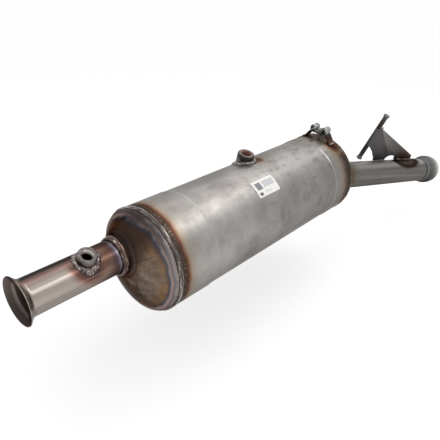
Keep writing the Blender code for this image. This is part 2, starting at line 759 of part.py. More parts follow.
def right_foot(x):
    """Height on the flat sheet at which the folded leaf's foot rests on the pipe."""
    return settle(lambda z: folded(x, z), GAP)


def notch_height(x):
    share = (x - NOTCH_MIDDLE) / NOTCH_HALF
    return left_foot() + NOTCH_HEIGHT * math.sqrt(max(1 - share ** 2, 0))


def hanger_plate():
    """Gusset: a leaf across the rod and a leaf folded towards the view, with a notched foot."""
    depth = plate_depth()
    top, crease = crease_ends(CREASE_FOOT)
    start = NOTCH_MIDDLE - NOTCH_HALF
    end = NOTCH_MIDDLE + NOTCH_HALF * 0.97
    left = [(PLATE_TOP_LEFT, PLATE_TOP), HEEL, HOLLOW, BELLY]
    left += [(LEFT_FOOT_START, left_foot()), (start, left_foot())]
    left += [(x, notch_height(x)) for x in (start + (crease.x - start) * i / 4 for i in (1, 2, 3))]
    left += [(crease.x, crease.z), (top.x, top.z)]
    right = [(top.x, top.z), (crease.x, crease.z)]
    right += [(x, notch_height(x)) for x in (crease.x + (end - crease.x) * i / 7 for i in range(1, 7))]
    right += [(x, right_foot(x)) for x in (end + (TOE - end) * i / 4 for i in range(5))]
    right += [(TOE - TOE_BACK, TOE_HEIGHT)]
    bm = bmesh.new()
    bm.faces.new([bm.verts.new((x, depth, z)) for x, z in left])
    bm.faces.new([bm.verts.new(folded(x, z)[0]) for x, z in right])
    bmesh.ops.remove_doubles(bm, verts=bm.verts, dist=GAP / 10)
    bmesh.ops.recalc_face_normals(bm, faces=bm.faces)
    mesh = bpy.data.meshes.new("hanger_plate")
    bm.to_mesh(mesh)
    bm.free()
    obj = finish("hanger_plate", mesh, hanger_steel(), hanger_frame(), math.radians(20))
    solid = obj.modifiers.new("sheet", "SOLIDIFY")
    solid.thickness = PLATE_SHEET
    solid.offset = 0
    solid.use_even_offset = True


def foot_bead_place(x):
    """Centre of the weld in the corner between the folded leaf's front and the pipe."""
    reach = PLATE_BEAD + GAP

    def places(z):
        middle, front, _ = folded(x, z)
        return [front + (front - middle).normalized() * reach]
    return places(settle(places, reach + GAP / 2))[0]


def hanger_welds():
    """Beads where the rod meets the plate and along both feet of the plate."""
    frame = hanger_frame()
    back = plate_depth() + PLATE_SHEET / 2
    reach = ROD_BEAD + GAP
    side = math.sqrt((ROD_RADIUS + reach) ** 2 - (back + reach) ** 2) + GAP / 2
    bead("hanger_rod_weld", (side, back + reach, HEEL[1]), (side, back + reach, PLATE_TOP - 2 * BEAD_INSET),
         ROD_BEAD, weld_steel(), frame)
    bead("hanger_top_weld", (-ROD_RADIUS, -ROD_RADIUS - reach, PLATE_TOP + reach),
         (PLATE_TOP_RIGHT, -ROD_RADIUS - reach, PLATE_TOP + reach), ROD_BEAD, weld_steel(), frame)
    step = PLATE_BEAD + GAP
    low = settle(lambda z: [Vector((0, back + step, z))], step)
    bead("hanger_foot_weld_rear", (LEFT_FOOT_START + BEAD_INSET, back + step, low),
         (NOTCH_MIDDLE - NOTCH_HALF - BEAD_INSET, back + step, low), PLATE_BEAD, weld_steel(), frame)
    bead("hanger_foot_weld", foot_bead_place(NOTCH_MIDDLE + NOTCH_HALF + BEAD_INSET),
         foot_bead_place(TOE - BEAD_INSET), PLATE_BEAD, weld_steel(), frame)


def build():
    clear_scene()
    inlet_pipe()
    inlet_boss()
    inlet_end_cone()
    canister_shell()
    body_boss()
    label()
    bricks()
    rim_weld("front_rim_weld", FRONT_RIM_X, -1)
    rim_weld("rear_rim_weld", REAR_RIM_X, 1)
    outlet_end_cone()
    outlet_pipe()
    pipe_welds()
    pipe_holder()
    holder_welds()
    pipe_clamp()
    clamp_bolt()
    clamp_nut()
    hanger_rod()
    hanger_plate()
    hanger_welds()


build()
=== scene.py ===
"""Looks of the diesel particulate filter: sheet steel, weld metal, heat tint, bosses, clamp, hanger."""
import math

import bmesh
import bpy
from mathutils import Matrix, Vector, noise


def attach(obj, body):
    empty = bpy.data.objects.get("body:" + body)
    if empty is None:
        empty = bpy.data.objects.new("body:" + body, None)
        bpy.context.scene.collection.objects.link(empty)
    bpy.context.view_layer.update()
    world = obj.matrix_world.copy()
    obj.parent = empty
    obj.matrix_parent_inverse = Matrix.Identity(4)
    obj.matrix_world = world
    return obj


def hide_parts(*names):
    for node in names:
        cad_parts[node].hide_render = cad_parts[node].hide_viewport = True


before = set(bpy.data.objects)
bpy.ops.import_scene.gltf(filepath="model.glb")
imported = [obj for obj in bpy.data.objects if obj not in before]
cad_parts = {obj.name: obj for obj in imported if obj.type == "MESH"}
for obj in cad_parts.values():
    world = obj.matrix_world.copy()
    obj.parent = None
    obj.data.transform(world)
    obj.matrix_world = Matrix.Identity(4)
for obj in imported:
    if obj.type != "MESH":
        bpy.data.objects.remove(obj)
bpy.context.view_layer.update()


# The can. Ferritic stainless sheet 1.5 mm thick, rolled into a tube and sized down over the bricks,
# which leaves two fine steps. Handling has smudged it, and the end welds have tinted its edges.
CAN_Z = -0.028
CAN_RADIUS = 0.0825
SIZED_RADIUS = 0.0815
SHEET = 0.0015
CAN_FRONT = 0.1934
CAN_REAR = 0.6624
FIRST_STEP = 0.2674
LAST_STEP = 0.6084
STEP_HALF = 0.0020
PORT_RADIUS = 0.0080


def deselect():
    """Nothing selected, in object mode."""
    if bpy.context.object and bpy.context.object.mode != "OBJECT":
        bpy.ops.object.mode_set(mode="OBJECT")
    bpy.ops.object.select_all(action="DESELECT")


def hooped(name, hoops, place=Matrix(), sides=128, closed=True):
    """Extrude a circle from hoop to hoop along X, each (x, centre or matrix, and radius)."""
    deselect()
    turn = Matrix.Rotation(math.pi / 2, 4, "Y")
    spots = []
    for spot, radius in hoops:
        if not isinstance(spot, Matrix):
            spot = Matrix.Translation(spot if isinstance(spot, Vector) else (spot, 0, 0))
        spots.append(place @ spot @ turn @ Matrix.Scale(radius, 4))
    bpy.ops.mesh.primitive_circle_add(vertices=sides, radius=1)
    piece = bpy.context.object
    piece.name = piece.data.name = name
    piece.data.transform(spots[0])
    bpy.ops.object.mode_set(mode="EDIT")
    bpy.ops.mesh.select_all(action="SELECT")
    for here, after in zip(spots, spots[1:] + spots[:1] if closed else spots[1:]):
        bpy.ops.mesh.extrude_region_move()
        move = after @ here.inverted()
        rim = bmesh.from_edit_mesh(piece.data)
        for vertex in rim.verts:
            if vertex.select:
                vertex.co = move @ vertex.co
        bmesh.update_edit_mesh(piece.data)
    bpy.ops.mesh.select_all(action="SELECT")
    bpy.ops.mesh.remove_doubles(threshold=0.000004)
    bpy.ops.mesh.normals_make_consistent(inside=False)
    bpy.ops.object.mode_set(mode="OBJECT")
    return piece


def dress(piece, finish, nodes, angle=35):
    """Give a piece its surface and hand it to the frame in place of its plain solid."""
    deselect()
    piece.select_set(True)
    bpy.context.view_layer.objects.active = piece
    bpy.ops.object.transform_apply(location=True, rotation=True, scale=True)
    bpy.ops.object.shade_smooth_by_angle(angle=math.radians(angle))
    piece.data.materials.clear()
    piece.data.materials.append(finish)
    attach(piece, "root")
    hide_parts(*nodes)
    return piece


def settle_modifiers(piece):
    """Apply every modifier of a piece."""
    deselect()
    piece.select_set(True)
    bpy.context.view_layer.objects.active = piece
    for modifier in list(piece.modifiers):
        bpy.ops.object.modifier_apply(modifier=modifier.name)


def drill(piece, radius, depth, place):
    """Cut a round hole along the place's Z axis."""
    deselect()
    bpy.ops.mesh.primitive_cylinder_add(vertices=48, radius=radius, depth=depth)
    bit = bpy.context.object
    bit.matrix_world = place
    hole = piece.modifiers.new("hole", "BOOLEAN")
    hole.operation = "DIFFERENCE"
    hole.solver = "EXACT"
    hole.object = bit
    settle_modifiers(piece)
    bpy.data.objects.remove(bit, do_unlink=True)


def hexed(code):
    """sRGB hex to a linear colour."""
    parts = [int(code[i:i + 2], 16) / 255 for i in (0, 2, 4)]
    return [c / 12.92 if c <= 0.04045 else ((c + 0.055) / 1.055) ** 2.4 for c in parts] + [1.0]


def add(tree, kind, links=None, stops=None, **settings):
    """Add a node with its settings, and link or set its sockets."""
    node = tree.nodes.new("ShaderNode" + kind)
    for key, value in settings.items():
        setattr(node, key, value)
    if stops:
        marks = node.color_ramp.elements
        while len(marks) < len(stops):
            marks.new(0.5)
        for mark, (where, colour) in zip(marks, stops):
            mark.position = where
            mark.color = hexed(colour) if isinstance(colour, str) else [colour] * 3 + [1.0]
    for socket, source in (links or {}).items():
        if isinstance(source, bpy.types.NodeSocket):
            tree.links.new(source, node.inputs[socket])
        else:
            node.inputs[socket].default_value = source
    return node


def metal(name):
    """A new metal surface: its tree, its shader and its Object coordinates."""
    finish = bpy.data.materials.new(name)
    finish.use_nodes = True
    tree = finish.node_tree
    shader = tree.nodes["Principled BSDF"]
    shader.inputs["Metallic"].default_value = 1.0
    return finish, tree, shader, add(tree, "TexCoord").outputs["Object"]


def stained(tree, under, amount, stain):
    """Lay one colour over another by an amount."""
    return add(tree, "Mix", {0: amount, 6: under, 7: stain}, data_type="RGBA").outputs[2]


def wandering(tree, value, drift, reach):
    """A distance whose line wanders by the reach, as a heat tint's edge does."""
    centred = add(tree, "Math", {0: drift, 1: -0.5}, operation="ADD")
    return add(tree, "Math", {0: centred.outputs[0], 1: reach, 2: value}, operation="MULTIPLY_ADD").outputs[0]


def tint(tree, under, distance, near, far, colours, amounts):
    """Colours over a distance, such as heat tint from a weld, fading into the bare steel."""
    share = add(tree, "MapRange", {"Value": distance, "From Min": near, "From Max": far}).outputs[0]
    colour = add(tree, "ValToRGB", {0: share}, stops=colours)
    amount = add(tree, "ValToRGB", {0: share}, stops=amounts)
    return stained(tree, under, amount.outputs[0], colour.outputs[0])


def away_from(tree, where, spot):
    return add(tree, "VectorMath", {0: where, 1: spot}, operation="DISTANCE").outputs["Value"]


def rolled_sheet_steel():
    """Cold-rolled stainless, satin mill finish: warm grey, soft reflections, matt hand smudges, painted highlight and
    shade.
    """
    finish, tree, shader, where = metal("rolled_stainless_sheet")
    axis = add(tree, "SeparateXYZ", {0: where})
    cloud = add(tree, "TexNoise", {"Vector": where, "Scale": 16.0, "Detail": 6.0, "Roughness": 0.62})
    lines = add(tree, "Mapping", {"Vector": where, "Scale": (420.0, 9.0, 9.0)})
    grain = add(tree, "TexNoise", {"Vector": lines.outputs[0], "Scale": 1.0, "Detail": 3.0})
    smears = add(tree, "Mapping", {"Vector": where, "Rotation": (0.5, 0.3, 0.9), "Scale": (34.0, 110.0, 34.0)})
    smear = add(tree, "TexNoise", {"Vector": smears.outputs[0], "Scale": 1.0, "Detail": 4.0, "Roughness": 0.6})
    drift = add(tree, "TexNoise", {"Vector": where, "Scale": 38.0, "Detail": 4.0}).outputs[0]
    base = add(tree, "ValToRGB", {0: cloud.outputs[0]},
               stops=[(0.32, "8A8683"), (0.50, "9B9794"), (0.68, "A9A5A2")])
    # Painted shade: the can darkens down its near (-Y) flank, more towards the rear.
    painted_low_shade = add(tree, "MapRange", {"Value": axis.outputs[1], "From Min": -0.02, "From Max": -0.08})
    rear = add(tree, "MapRange", {"Value": axis.outputs[0], "From Min": 0.26, "From Max": 0.60,
                                  "To Min": 0.12, "To Max": 1.0})
    painted_flank_shade = add(tree, "Math", {0: painted_low_shade.outputs[0], 1: rear.outputs[0]}, operation="MULTIPLY")
    painted_flank_shade = add(tree, "Math", {0: painted_flank_shade.outputs[0], 1: 0.75}, operation="MULTIPLY")
    colour = stained(tree, base.outputs[0], painted_flank_shade.outputs[0], hexed("777573"))
    smudge = add(tree, "ValToRGB", {0: smear.outputs[0]}, stops=[(0.53, 0.0), (0.64, 0.50), (0.76, 0.85)])
    smudge = add(tree, "Math", {0: smudge.outputs[0], 1: rear.outputs[0]}, operation="MULTIPLY")
    colour = stained(tree, colour, smudge.outputs[0], hexed("656361"))
    colour = add(tree, "Mix", {0: 0.10, 6: colour, 7: grain.outputs[0]}, data_type="RGBA",
                 blend_type="OVERLAY").outputs[2]
    # Painted highlight: a near-white line along each step, strongest over the top.
    for middle in (FIRST_STEP, LAST_STEP):
        off = add(tree, "Math", {0: axis.outputs[0], 1: -middle}, operation="ADD")
        off = add(tree, "Math", {0: off.outputs[0]}, operation="ABSOLUTE")
        step_highlight_line = add(tree, "MapRange", {"Value": off.outputs[0], "From Min": 0.0006, "From Max": 0.0013,
                                           "To Min": 0.95 if middle == FIRST_STEP else 0.42, "To Max": 0.0})
        painted_step_highlight = add(tree, "MapRange", {"Value": axis.outputs[1], "From Min": -0.072, "From Max": -0.030,
                                      "To Min": 0.25, "To Max": 1.0})
        painted_step_highlight = add(tree, "Math", {0: step_highlight_line.outputs[0], 1: painted_step_highlight.outputs[0]}, operation="MULTIPLY")
        colour = stained(tree, colour, painted_step_highlight.outputs[0], hexed("E6E2DE"))
        # Painted shadow: a dark band beside the rear step, over the top.
        if middle == LAST_STEP:
            painted_step_shadow = add(tree, "MapRange", {"Value": off.outputs[0], "From Min": 0.0016, "From Max": 0.0024,
                                          "To Min": 0.85, "To Max": 0.0})
            top = add(tree, "MapRange", {"Value": axis.outputs[1], "From Min": -0.046, "From Max": -0.034})
            painted_step_shadow = add(tree, "Math", {0: painted_step_shadow.outputs[0], 1: top.outputs[0]}, operation="MULTIPLY")
            colour = stained(tree, colour, painted_step_shadow.outputs[0], hexed("6C6865"))
    colour = tint(tree, colour, wandering(tree, axis.outputs[0], drift, 0.007), CAN_FRONT, CAN_FRONT + 0.060,
                  [(0.0, "382C27"), (0.14, "423630"), (0.19, "5E3C2E"), (0.24, "7C5E48"), (0.32, "96826C"),
                   (0.50, "9E9488")],
                  [(0.0, 1.0), (0.20, 1.0), (0.26, 0.85), (0.34, 0.55), (0.50, 0.22), (0.8, 0.0)])
    spatter = add(tree, "TexNoise", {"Vector": where, "Scale": 520.0, "Detail": 3.0, "Roughness": 0.6})
    spatter = add(tree, "ValToRGB", {0: spatter.outputs[0]}, stops=[(0.54, 0.0), (0.66, 0.75)])
    close = add(tree, "MapRange", {"Value": axis.outputs[0], "From Min": CAN_FRONT + 0.007,
                                   "From Max": CAN_FRONT + 0.011, "To Min": 1.0, "To Max": 0.0})
    spatter = add(tree, "Math", {0: spatter.outputs[0], 1: close.outputs[0]}, operation="MULTIPLY")
    colour = stained(tree, colour, spatter.outputs[0], hexed("8A7A70"))
    colour = tint(tree, colour, wandering(tree, axis.outputs[0], drift, 0.008), CAN_REAR, CAN_REAR - 0.056,
                  [(0.0, "3E342F"), (0.20, "463A34"), (0.36, "66544A"), (0.50, "8B7A6A"), (0.8, "928A80")],
                  [(0.0, 1.0), (0.30, 0.90), (0.50, 0.55), (1.0, 0.0)])
    colour = tint(tree, colour, wandering(tree, away_from(tree, where, (0.459, 0.008, 0.054)), drift, 0.010),
                  0.006, 0.030, [(0.0, "3C2A20"), (0.35, "6A4630"), (0.65, "97836E")],
                  [(0.0, 1.0), (0.4, 0.85), (0.7, 0.35), (1.0, 0.0)])
    colour = tint(tree, colour, away_from(tree, where, (0.4424, 0.0147, 0.0522)), 0.0195, 0.0240,
                  [(0.0, "38312C"), (1.0, "7A6E64")], [(0.0, 0.9), (0.5, 0.5), (1.0, 0.0)])
    for foot in ((0.648, -0.043, 0.042), (0.648, 0.026, 0.050)):
        colour = tint(tree, colour, wandering(tree, away_from(tree, where, foot), drift, 0.008),
                      0.006, 0.024, [(0.0, "36251C"), (0.4, "5E4230"), (0.7, "8A7258")],
                      [(0.0, 1.0), (0.5, 0.8), (1.0, 0.0)])
    tree.links.new(colour, shader.inputs["Base Color"])
    shader.inputs["Specular Tint"].default_value = (0.55, 0.54, 0.53, 1.0)
    rough = add(tree, "MapRange", {"Value": smear.outputs[0], "From Min": 0.35, "From Max": 0.75,
                                   "To Min": 0.32, "To Max": 0.48})
    tree.links.new(rough.outputs[0], shader.inputs["Roughness"])
    dents = add(tree, "TexNoise", {"Vector": where, "Scale": 24.0, "Detail": 2.0})
    wave = add(tree, "Bump", {"Height": dents.outputs[0], "Strength": 0.25, "Distance": 0.0012})
    fine = add(tree, "Bump", {"Height": grain.outputs[0], "Strength": 0.12, "Distance": 0.0001,
                              "Normal": wave.outputs[0]})
    tree.links.new(fine.outputs[0], shader.inputs["Normal"])
    return finish


def step_hoops(middle, before, after, count=7):
    """A fine rounded step where the sized zone begins or ends."""
    hoops = []
    for i in range(count + 1):
        share = i / count
        ease = (1 - math.cos(share * math.pi)) / 2
        hoops.append((middle - STEP_HALF + 2 * STEP_HALF * share, before + (after - before) * ease))
    return hoops


outer = [(CAN_FRONT, CAN_RADIUS - 0.0004), (CAN_FRONT + 0.0004, CAN_RADIUS), (CAN_FRONT + 0.02, CAN_RADIUS)]
outer += step_hoops(FIRST_STEP, CAN_RADIUS, SIZED_RADIUS)
outer += [(FIRST_STEP + 0.085 * i, SIZED_RADIUS) for i in range(1, 4)]
outer += step_hoops(LAST_STEP, SIZED_RADIUS, CAN_RADIUS)
outer += [(CAN_REAR - 0.02, CAN_RADIUS), (CAN_REAR - 0.0004, CAN_RADIUS), (CAN_REAR, CAN_RADIUS - 0.0004)]
inner = [(x, radius - SHEET) for x, radius in reversed(outer[2:-2])]
inner = [(CAN_REAR, CAN_RADIUS - SHEET)] + inner + [(CAN_FRONT, CAN_RADIUS - SHEET)]
can_axis = Matrix.Translation((0, 0, CAN_Z))
shell = hooped("can_shell", outer + inner, can_axis, sides=192)
BODY_BOSS_SEAT = math.radians(10.4)
BODY_BOSS_LEAN = math.radians(-17.0)
body_boss_place = (Matrix.Translation((0.4424, math.sin(BODY_BOSS_SEAT) * SIZED_RADIUS,
                                       CAN_Z + math.cos(BODY_BOSS_SEAT) * SIZED_RADIUS))
                   @ Matrix.Rotation(-BODY_BOSS_LEAN, 4, "X"))
drill(shell, PORT_RADIUS, 0.030, body_boss_place)
dress(shell, rolled_sheet_steel(), ["canister_shell"], angle=30)


# The bricks. Extruded ceramic honeycomb, held in the can by a pressed fibre mat. The first carries
# the oxidation catalyst, the second filters the soot. They are pushed in before the caps go on.
def honeycomb():
    """Cordierite honeycomb: square cells 1.3 mm apart, drawn on the faces across the gas flow, their openings dark with
    painted shade.
    """
    finish, tree, shader, where = metal("extruded_cordierite_honeycomb")
    shader.inputs["Metallic"].default_value = 0.0
    shader.inputs["Roughness"].default_value = 0.9
    axis = add(tree, "SeparateXYZ", {0: where})
    cell = 0.0013
    bars = []
    for socket in (1, 2):
        saw = add(tree, "Math", {0: axis.outputs[socket], 1: cell}, operation="PINGPONG")
        bars.append(add(tree, "Math", {0: saw.outputs[0], 1: 0.25 * cell}, operation="GREATER_THAN"))
    # The open cells are painted dark: painted shade inside the channels.
    hole = add(tree, "Math", {0: bars[0].outputs[0], 1: bars[1].outputs[0]}, operation="MULTIPLY")
    colour = stained(tree, hexed("A79C8C"), hole.outputs[0], hexed("1E1B18"))
    tree.links.new(colour, shader.inputs["Base Color"])
    return finish


def fibre():
    """Pressed alumina fibre: off-white and matt, with fine tufts."""
    finish, tree, shader, where = metal("pressed_alumina_fibre")
    shader.inputs["Metallic"].default_value = 0.0
    shader.inputs["Roughness"].default_value = 0.95
    tuft = add(tree, "TexNoise", {"Vector": where, "Scale": 900.0, "Detail": 4.0})
    colour = add(tree, "ValToRGB", {0: tuft.outputs[0]}, stops=[(0.35, "C9C5BA"), (0.65, "E8E5DC")])
    tree.links.new(colour.outputs[0], shader.inputs["Base Color"])
    return finish


brick_ceramic = honeycomb()
mat_fibre = fibre()
for node, surface in (("oxidation_catalyst", brick_ceramic), ("filter_substrate", brick_ceramic),
                      ("catalyst_mat", mat_fibre), ("filter_mat", mat_fibre)):
    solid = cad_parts[node]
    solid.data.materials.clear()
    solid.data.materials.append(surface)


# The inlet cap. Pressed from the same sheet: a flange inside the can, a rounded shoulder, and a cone
# drawn off centre to a neck round the inlet pipe. Scale from the exhaust and two welds darken it, and
# painted shade darkens its top.
FLANGE_RADIUS = 0.0807
SHOULDER_RADIUS = 0.0733
NECK_RADIUS = 0.0272
INLET_RISE = 0.028
NECK_X = 0.1460


def cap_hoops(wall):
    """Flange, shoulder and cone of the cap, from inside the can to the neck."""
    hoops = [(CAN_FRONT + 0.014, FLANGE_RADIUS - wall), (CAN_FRONT + 0.002, FLANGE_RADIUS - wall)]
    for i in range(9):
        turn = math.pi / 2 * i / 8
        hoops.append((CAN_FRONT - 0.0060 - (0.0075 - wall) * math.sin(turn),
                      SHOULDER_RADIUS + (FLANGE_RADIUS - SHOULDER_RADIUS - wall) * math.cos(turn)))
    start_x, start_radius = hoops[-1]
    end_x = NECK_X + 0.0030 + wall
    end_radius = NECK_RADIUS - wall + 0.0004
    for i in range(1, 16):
        share = i / 16
        swell = 0.0014 * math.sin(math.pi * share)
        hoops.append((Vector((start_x + (end_x - start_x) * share - swell, 0, INLET_RISE * share)),
                      start_radius + (end_radius - start_radius) * share + swell))
    hoops.append((Vector((end_x, 0, INLET_RISE)), end_radius))
    hoops.append((Vector((NECK_X, 0, INLET_RISE)), NECK_RADIUS - wall))
    return hoops


def scaled_cap_steel():
    """Pressed cap, heat scaled: olive brown in the middle, gold by the shoulder, painted shade above."""
    finish, tree, shader, where = metal("heat_scaled_pressed_sheet")
    centred = add(tree, "VectorMath", {0: where, 1: (0.0, 0.0, -CAN_Z)}, operation="ADD")
    round_axis = add(tree, "VectorMath", {0: centred.outputs[0], 1: (0.0, 1.0, 1.0)}, operation="MULTIPLY")
    reach = add(tree, "VectorMath", {0: round_axis.outputs[0]}, operation="LENGTH").outputs["Value"]
    drift = add(tree, "TexNoise", {"Vector": where, "Scale": 48.0, "Detail": 5.0}).outputs[0]
    cloud = add(tree, "TexNoise", {"Vector": where, "Scale": 75.0, "Detail": 7.0, "Roughness": 0.66})
    axis = add(tree, "SeparateXYZ", {0: centred.outputs[0]})
    turn = add(tree, "Math", {0: axis.outputs[1], 1: axis.outputs[2]}, operation="ARCTAN2").outputs[0]
    aside = add(tree, "Math", {0: turn, 1: 0.15}, operation="ADD")
    aside = add(tree, "Math", {0: aside.outputs[0]}, operation="ABSOLUTE")
    aside = wandering(tree, aside.outputs[0], drift, 0.9)
    # Colour by side: heat-scale browns round the sides, near black over the top as painted shade.
    face = add(tree, "MapRange", {"Value": aside, "From Min": 0.0, "From Max": math.pi})
    face = add(tree, "ValToRGB", {0: face.outputs[0]},
               stops=[(0.05, "241E1C"), (0.12, "3A2D28"), (0.20, "54443A"), (0.29, "6B5A4E"), (0.38, "75665A"),
                      (0.50, "706258"), (0.70, "70665E"), (0.95, "544942")])
    mottle = add(tree, "ValToRGB", {0: cloud.outputs[0]}, stops=[(0.40, 0.22), (0.60, 0.70)])
    colour = add(tree, "Mix", {0: 0.60, 6: face.outputs[0], 7: mottle.outputs[0]}, data_type="RGBA",
                 blend_type="OVERLAY").outputs[2]
    specks = add(tree, "TexNoise", {"Vector": where, "Scale": 300.0, "Detail": 4.0, "Roughness": 0.7})
    specks = add(tree, "ValToRGB", {0: specks.outputs[0]}, stops=[(0.60, 0.0), (0.72, 0.35)])
    colour = stained(tree, colour, specks.outputs[0], hexed("94867A"))
    gilt = add(tree, "TexNoise", {"Vector": where, "Scale": 30.0, "Detail": 3.0})
    gilt = add(tree, "ValToRGB", {0: gilt.outputs[0]}, stops=[(0.46, 0.0), (0.62, 0.60)])
    outward = add(tree, "MapRange", {"Value": reach, "From Min": 0.050, "From Max": 0.066})
    gilt = add(tree, "Math", {0: gilt.outputs[0], 1: outward.outputs[0]}, operation="MULTIPLY")
    lower = add(tree, "MapRange", {"Value": aside, "From Min": 0.5, "From Max": 1.1})
    gilt = add(tree, "Math", {0: gilt.outputs[0], 1: lower.outputs[0]}, operation="MULTIPLY")
    colour = stained(tree, colour, gilt.outputs[0], hexed("8A6640"))
    from_neck = away_from(tree, add(tree, "VectorMath", {0: where, 1: (0.0, 1.0, 1.0)},
                                    operation="MULTIPLY").outputs[0], (0.0, 0.0, 0.0))
    colour = tint(tree, colour, wandering(tree, from_neck, drift, 0.006), 0.027, 0.043,
                  [(0.0, "2E2322"), (0.20, "352927"), (0.34, "524642"), (0.46, "352722"), (0.62, "4A382F"),
                   (1.0, "5A4636")], [(0.0, 1.0), (0.5, 0.85), (1.0, 0.0)])
    seam = add(tree, "VectorMath", {0: where, 1: (0.0, 0.478, 0.878)}, operation="DOT_PRODUCT")
    seam = wandering(tree, seam.outputs["Value"], drift, 0.005)
    seam = add(tree, "Math", {0: seam, 1: -0.0191, 2: 0.0006}, operation="COMPARE")
    run = add(tree, "VectorMath", {0: where, 1: (0.0, -0.878, 0.478)}, operation="DOT_PRODUCT")
    run = add(tree, "Math", {0: run.outputs["Value"], 1: 0.0375, 2: 0.0140}, operation="COMPARE")
    seam = add(tree, "Math", {0: seam.outputs[0], 1: run.outputs[0]}, operation="MULTIPLY")
    seam = add(tree, "Math", {0: seam.outputs[0], 1: 0.65}, operation="MULTIPLY")
    colour = stained(tree, colour, seam.outputs[0], hexed("362C28"))
    band = wandering(tree, reach, drift, 0.008)
    colour = tint(tree, colour, band, 0.056, 0.084,
                  [(0.0, "6E5840"), (0.34, "7A5E44"), (0.46, "5E4C46"), (0.52, "42444F"), (0.57, "66666E"),
                   (0.64, "9A8882"), (0.72, "8A7670"), (0.80, "64646C"), (0.88, "8E8480"), (1.0, "3E3836")],
                  [(0.0, 0.0), (0.34, 0.35), (0.52, 0.85), (0.62, 0.95), (1.0, 1.0)])
    # Painted shade: the top of the cap darkens further.
    shade = add(tree, "MapRange", {"Value": aside, "From Min": 0.1, "From Max": 0.9,
                                   "To Min": 0.78, "To Max": 0.0})
    colour = stained(tree, colour, shade.outputs[0], hexed("28211F"))
    tree.links.new(colour, shader.inputs["Base Color"])
    shader.inputs["Specular Tint"].default_value = (0.34, 0.32, 0.31, 1.0)
    rough = add(tree, "MapRange", {"Value": cloud.outputs[0], "From Min": 0.3, "From Max": 0.7,
                                   "To Min": 0.28, "To Max": 0.46})
    tree.links.new(rough.outputs[0], shader.inputs["Roughness"])
    wave = add(tree, "Bump", {"Height": cloud.outputs[0], "Strength": 0.30, "Distance": 0.0008})
    folds = add(tree, "MapRange", {"Value": band, "From Min": 0.070, "From Max": 0.083})
    folds = add(tree, "ValToRGB", {0: folds.outputs[0]},
                stops=[(0.05, 0.0), (0.24, 1.0), (0.42, 0.25), (0.60, 0.95), (0.78, 0.1), (1.0, 0.4)])
    ridge = add(tree, "Bump", {"Height": folds.outputs[0], "Strength": 0.55, "Distance": 0.0012,
                               "Normal": wave.outputs[0]})
    tree.links.new(ridge.outputs[0], shader.inputs["Normal"])
    return finish


cap_steel = scaled_cap_steel()
cap = hooped("inlet_cap", cap_hoops(0) + list(reversed(cap_hoops(SHEET))), can_axis, sides=160)
dress(cap, cap_steel, ["inlet_end_cone"], angle=50)


# The front rim weld. One pass of wire-fed weld in the corner between the cap and the can's edge,
# laid while the can turns, so its ripples follow each other like a row of tilted coins.
def weld_ring(name, radius, out, along, pitch, place, ripple=0.00022, lump=0.00025, seat=None):
    """A round bead with ripples, its section out across the ring's axis and along it."""
    deselect()
    count = round(2 * math.pi * radius / pitch)
    bpy.ops.mesh.primitive_torus_add(major_segments=8 * count, minor_segments=16, major_radius=radius,
                                     minor_radius=out)
    ring = bpy.context.object
    ring.name = ring.data.name = name
    for vertex in ring.data.vertices:
        turn = math.atan2(vertex.co.y, vertex.co.x)
        reach = math.hypot(vertex.co.x, vertex.co.y) - radius
        side = vertex.co.z / out
        wave = math.cos(count * turn - 2.4 * abs(side) + 1.6 * noise.noise(vertex.co * 90))
        uneven = noise.noise(vertex.co * 330 + Vector((7, 3, 1))) + noise.noise(vertex.co * 110)
        grow = 1 + (ripple * wave * (1.3 - abs(side)) + lump * uneven) / out
        reach *= grow
        rise = vertex.co.z * grow * along / out
        if seat:
            rise += seat(turn, radius + reach)
        vertex.co = ((radius + reach) * math.cos(turn), (radius + reach) * math.sin(turn), rise)
    ring.matrix_world = place
    return ring


def with_the_ring(tree, where, height, radius):
    """Coordinates drawn out fivefold along a ring about X, so that a pattern runs with its weld."""
    axis = add(tree, "SeparateXYZ", {0: where})
    rise = add(tree, "Math", {0: axis.outputs[2], 1: -height}, operation="ADD").outputs[0]
    turn = add(tree, "Math", {0: axis.outputs[1], 1: rise}, operation="ARCTAN2").outputs[0]
    run = add(tree, "Math", {0: turn, 1: radius / 5}, operation="MULTIPLY").outputs[0]
    flat = add(tree, "CombineXYZ", {1: axis.outputs[1], 2: rise}).outputs[0]
    reach = add(tree, "VectorMath", {0: flat}, operation="LENGTH").outputs["Value"]
    return add(tree, "CombineXYZ", {0: axis.outputs[0], 1: run, 2: reach}).outputs[0]


def weld_metal(name, stops, rough=0.26, fine=300.0, ring=None):
    """Weld metal as cast: brown and violet oxide, tiny spatter; near-white top stops are painted glints."""
    finish, tree, shader, where = metal(name)
    if ring:
        where = with_the_ring(tree, where, *ring)
    fleck = add(tree, "TexNoise", {"Vector": where, "Scale": fine, "Detail": 4.0, "Roughness": 0.6})
    patch = add(tree, "TexNoise", {"Vector": where, "Scale": 90.0, "Detail": 3.0})
    both = add(tree, "Math", {0: patch.outputs[0], 1: 0.45, 2: fleck.outputs[0]}, operation="MULTIPLY_ADD")
    both = add(tree, "MapRange", {"Value": both.outputs[0], "From Min": 0.40, "From Max": 1.05})
    colour = add(tree, "ValToRGB", {0: both.outputs[0]}, stops=stops)
    tree.links.new(colour.outputs[0], shader.inputs["Base Color"])
    shader.inputs["Roughness"].default_value = rough
    pits = add(tree, "Bump", {"Height": fleck.outputs[0], "Strength": 0.35, "Distance": 0.0004})
    tree.links.new(pits.outputs[0], shader.inputs["Normal"])
    return finish


across_x = Matrix.Rotation(math.pi / 2, 4, "Y")
